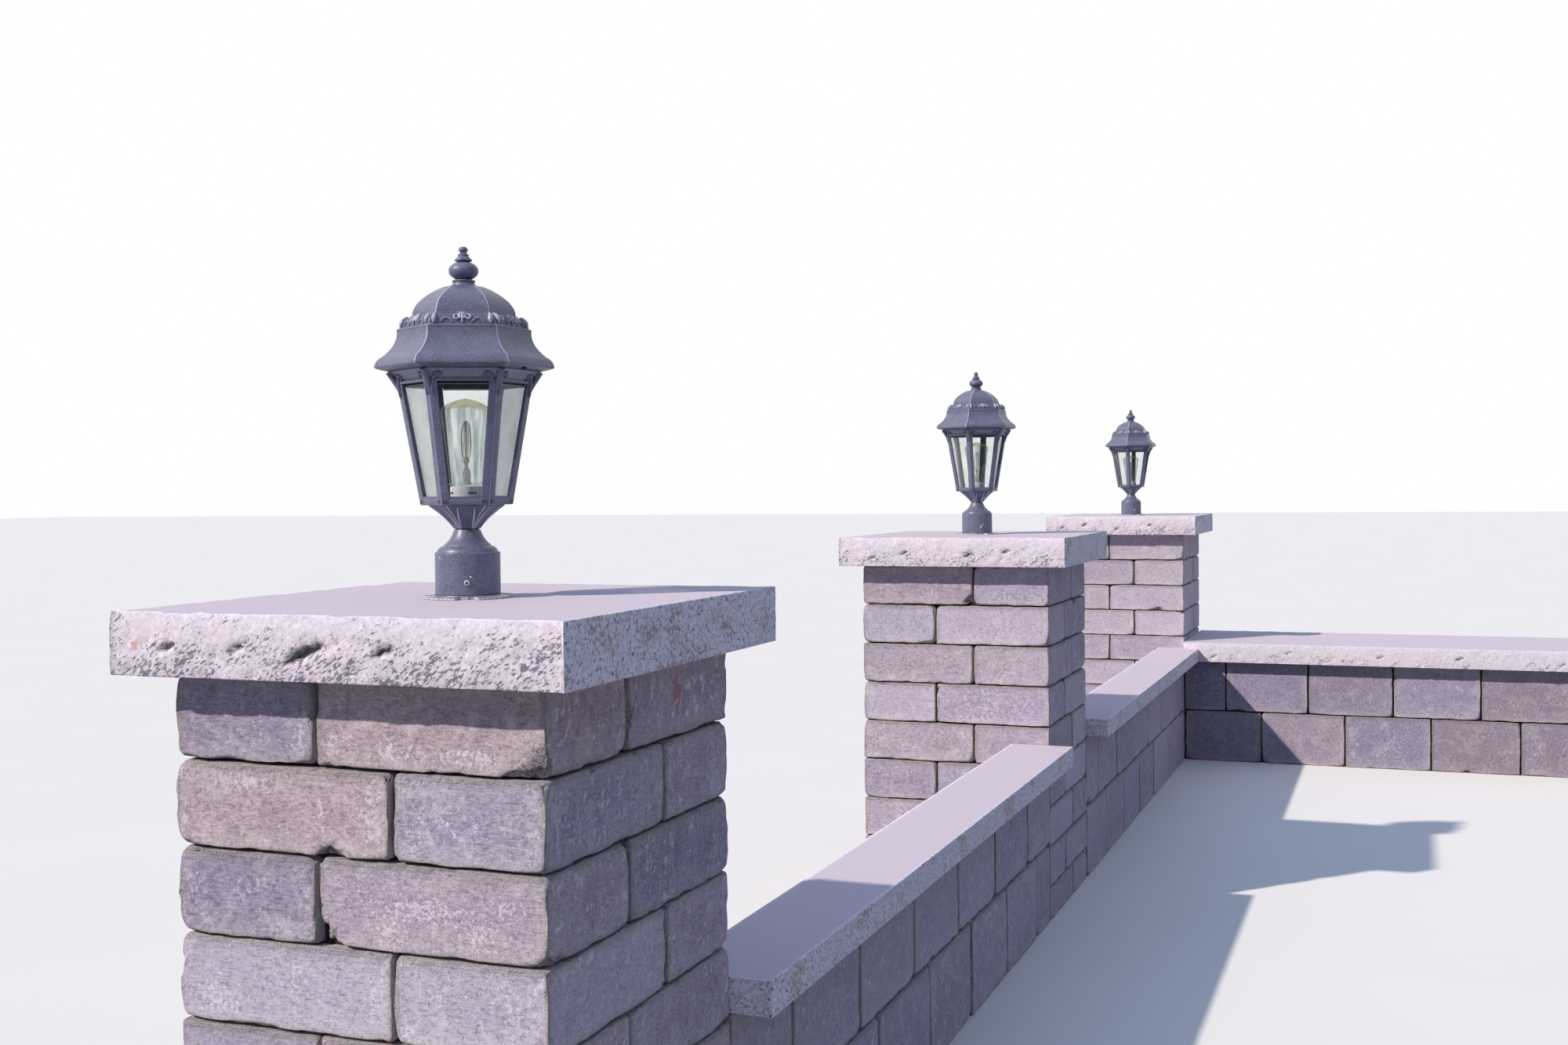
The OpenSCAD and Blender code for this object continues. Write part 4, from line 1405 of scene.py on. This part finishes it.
def build_finial():
    """Collar, flattened ball, rings and a small tip ball."""
    return Shape().wrap(lathe(FINIAL, round_ring(40))).mesh("lantern_finial_cast", [METAL], 40)


HOLDER = [
    (0.4, 127.05), (20.2, 127.05), (20.9, 127.8), (20.9, 136.4), (21.0, 137.0), (20.9, 142.2), (20.2, 142.9),
    (18.6, 143.0), (0.4, 143.0),
]


def build_holder():
    """Glazed lamp holder with a stepped rim and four short metal bars around it."""
    shape = Shape().wrap(lathe(HOLDER, round_ring(48)))
    for swing in range(4):
        turn = math.radians(-38 + 90 * swing)
        path = [20.3 * ray(turn + a) + (0, 0, 134.5) for a in np.linspace(-0.28, 0.28, 6)]
        shape.rod(path, np.full(6, 1.6), 1, 6)
    return shape.mesh("lantern_holder_cast", [CERAMIC, METAL], 40)


BULB_OUTLINE = [
    (0.4, 143.3), (18.0, 143.3), (21.6, 143.5), (22.4, 145.2), (21.5, 147.0), (21.7, 150.0), (22.4, 158.0),
    (23.9, 172.0), (25.9, 190.0), (27.8, 206.0), (29.6, 220.0), (31.0, 231.0), (31.4, 236.0), (31.4, 240.0),
    (30.5, 242.6), (28.2, 244.8), (23.0, 248.0), (15.0, 251.6), (7.6, 253.6), (4.4, 254.2), (2.6, 254.9),
    (0.4, 255.1),
]
STEM_OUTLINE = [
    (0.4, 144.0), (7.0, 144.4), (5.4, 148.0), (5.0, 152.0), (5.6, 158.0), (4.4, 163.0), (2.2, 168.0),
    (2.4, 171.6), (3.8, 173.6), (4.2, 175.4), (3.6, 177.4), (1.9, 179.4), (1.2, 182.0), (0.9, 226.0),
    (0.4, 227.0),
]
FILAMENTS = 8


def build_bulb():
    """Clear bulb with an amber crown, a glass stem and upright filaments."""
    rings = lathe(BULB_OUTLINE, round_ring(48))
    height = rings[:, :, 2].ravel() / MM
    warm = np.clip((height - 236) / 14, 0, 1) ** 1.3 * 0.7
    film = 0.03 + 0.03 * np.clip((height - 238) / 6, 0, 1) + 0.12 * (height < 148)
    shape = Shape().wrap(rings, 0, warm=warm, film=film)
    shape.wrap(lathe(STEM_OUTLINE, round_ring(16)), 1, film=0.45)
    for number in range(FILAMENTS):
        out = ray(number * ALL_ROUND / FILAMENTS + 0.3)
        path = []
        for t in evenly(12):
            reach = 2.0 + 4.6 * math.sin(math.pi * min(1, t * 1.02)) ** 0.45
            path.append(reach * out + (0, 0, 176 + 50 * t))
        shape.rod(path, np.full(12, 0.35), 2, 5)
    return shape.mesh("lantern_bulb_cast", [BULB, STEM, WIRE], 45)


def build_lanterns():
    """Puts each part of the lantern on every pier."""
    for part, build, slot in (
        ("plate", build_plate, "lantern_metal"),
        ("fitter", build_fitter, "lantern_metal"),
        ("cage", build_cage, "lantern_metal"),
        ("panes", build_panes, "lantern_glass"),
        ("roof", build_roof, "lantern_metal"),
        ("finial", build_finial, "lantern_metal"),
        ("holder", build_holder, "lamp_ceramic"),
        ("bulb", build_bulb, "bulb_glass"),
    ):
        mesh = build()
        for number in range(1, PIERS + 1):
            low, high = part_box(f"pier_{number}_cap")
            spot = ((low[0] + high[0]) / 2, (low[1] + high[1]) / 2, high[2])
            place(f"lantern_{number}_{part}_cast", mesh, f"lantern_{number}_{part}", slot, spot)


# Stage, light and camera

FLOOR_SEEN = ((0.79, 0.77, 0.70), (0.82, 0.80, 0.73))
FLOOR_BOUNCE = (0.23, 0.23, 0.24)
FLOOR_REACH = 60


def seen_directly(f):
    """A socket that is 1 for the rays of the camera, of reflections and of what shows through glass."""
    rays = f.node("ShaderNodeLightPath").outputs
    return f.most(rays["Is Camera Ray"], rays["Is Glossy Ray"], rays["Is Transmission Ray"])


def build_floor():
    f = material("pale_floor")
    pale = f.blend(f.noise(f.coordinates(), 1.5, 3), *FLOOR_SEEN)
    f.colour = f.blend(seen_directly(f), FLOOR_BOUNCE, pale)
    reach = FLOOR_REACH
    corners = [(-reach, -reach, 0), (reach, -reach, 0), (reach, reach, 0), (-reach, reach, 0)]
    mesh = bpy.data.meshes.new("floor")
    mesh.from_pydata(corners, [], [(0, 1, 2, 3)])
    mesh.materials.append(f.surface(Roughness=0.9, Specular_IOR_Level=0.1))
    floor = linked("floor", mesh)


SUN_WAY = (0.67, 0.74)
SUN_RISE = math.radians(37)
SUN_STRENGTH = 3.85
SUN_SOFT = math.radians(1.2)
SUN_COLOUR = (1.0, 0.915, 0.85)
FILL_LEVEL = (0.12, 0.13, 0.15)
FILL_ABOVE = (0.39, 0.51, 0.83)
WHITE = (1, 1, 1, 1)


def build_light():
    """A low sun, and a sky that is white where it is seen, and elsewhere lights most from above."""
    lamp = bpy.data.lights.new("sun", "SUN")
    lamp.energy = SUN_STRENGTH
    lamp.angle = SUN_SOFT
    lamp.color = SUN_COLOUR
    sun = linked("sun", lamp)
    flat = math.cos(SUN_RISE)
    way = Vector((SUN_WAY[0] * flat, SUN_WAY[1] * flat, -math.sin(SUN_RISE)))
    sun.rotation_mode = "QUATERNION"
    sun.rotation_quaternion = way.to_track_quat("-Z", "Y")
    f = Nodes(bpy.data.worlds.new("sky"), "ShaderNodeOutputWorld")
    spot = f.node("ShaderNodeTexCoord").outputs["Generated"]
    height = f.node("ShaderNodeSeparateXYZ", {0: spot}).outputs["Z"]
    fill = f.node("ShaderNodeBackground", {"Color": f.blend(f.ranged(height, 0, 1), FILL_LEVEL, FILL_ABOVE)})
    white = f.node("ShaderNodeBackground", {"Color": WHITE})
    shown = {0: seen_directly(f), 1: fill.outputs[0], 2: white.outputs[0]}
    bpy.context.scene.world = f.show(f.node("ShaderNodeMixShader", shown))
    bpy.context.scene.view_settings.view_transform = "Standard"


CAMERA_SPOT = Vector((1.1344, -1.8137, 1.1348))
CAMERA_WAY = Vector((-0.35952, 0.93287, -0.02219))
CAMERA_UP = Vector((0.00155, 0.02437, 0.99970))
CAMERA_LENS = 37.608
CAMERA_SENSOR = 36
CAMERA_FAR = 200


def build_camera():
    data = bpy.data.cameras.new("camera")
    data.sensor_width = CAMERA_SENSOR
    data.lens = CAMERA_LENS
    data.clip_end = CAMERA_FAR
    camera = linked("camera", data)
    right = CAMERA_WAY.cross(CAMERA_UP).normalized()
    up = right.cross(CAMERA_WAY).normalized()
    turn = Matrix((right, up, -CAMERA_WAY.normalized())).transposed()
    camera.matrix_world = Matrix.Translation(CAMERA_SPOT) @ turn.to_4x4()
    bpy.context.scene.camera = camera


build_camera()
build_light()
build_floor()
for pier in range(1, PIERS + 1):
    build_pier(pier)
for wall in ("first_wall", "second_wall"):
    build_wall(wall, 1, [(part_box(wall)[0][0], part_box(wall)[1][0])])
wide_low, wide_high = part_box("wide_wall")
build_wall("wide_wall", 0, [
    (wide_low[1], wide_low[1] + WALL_BLOCK_DEEP),
    (wide_high[1] - WALL_BLOCK_DEEP, wide_high[1]),
])
build_caps()
build_lanterns()
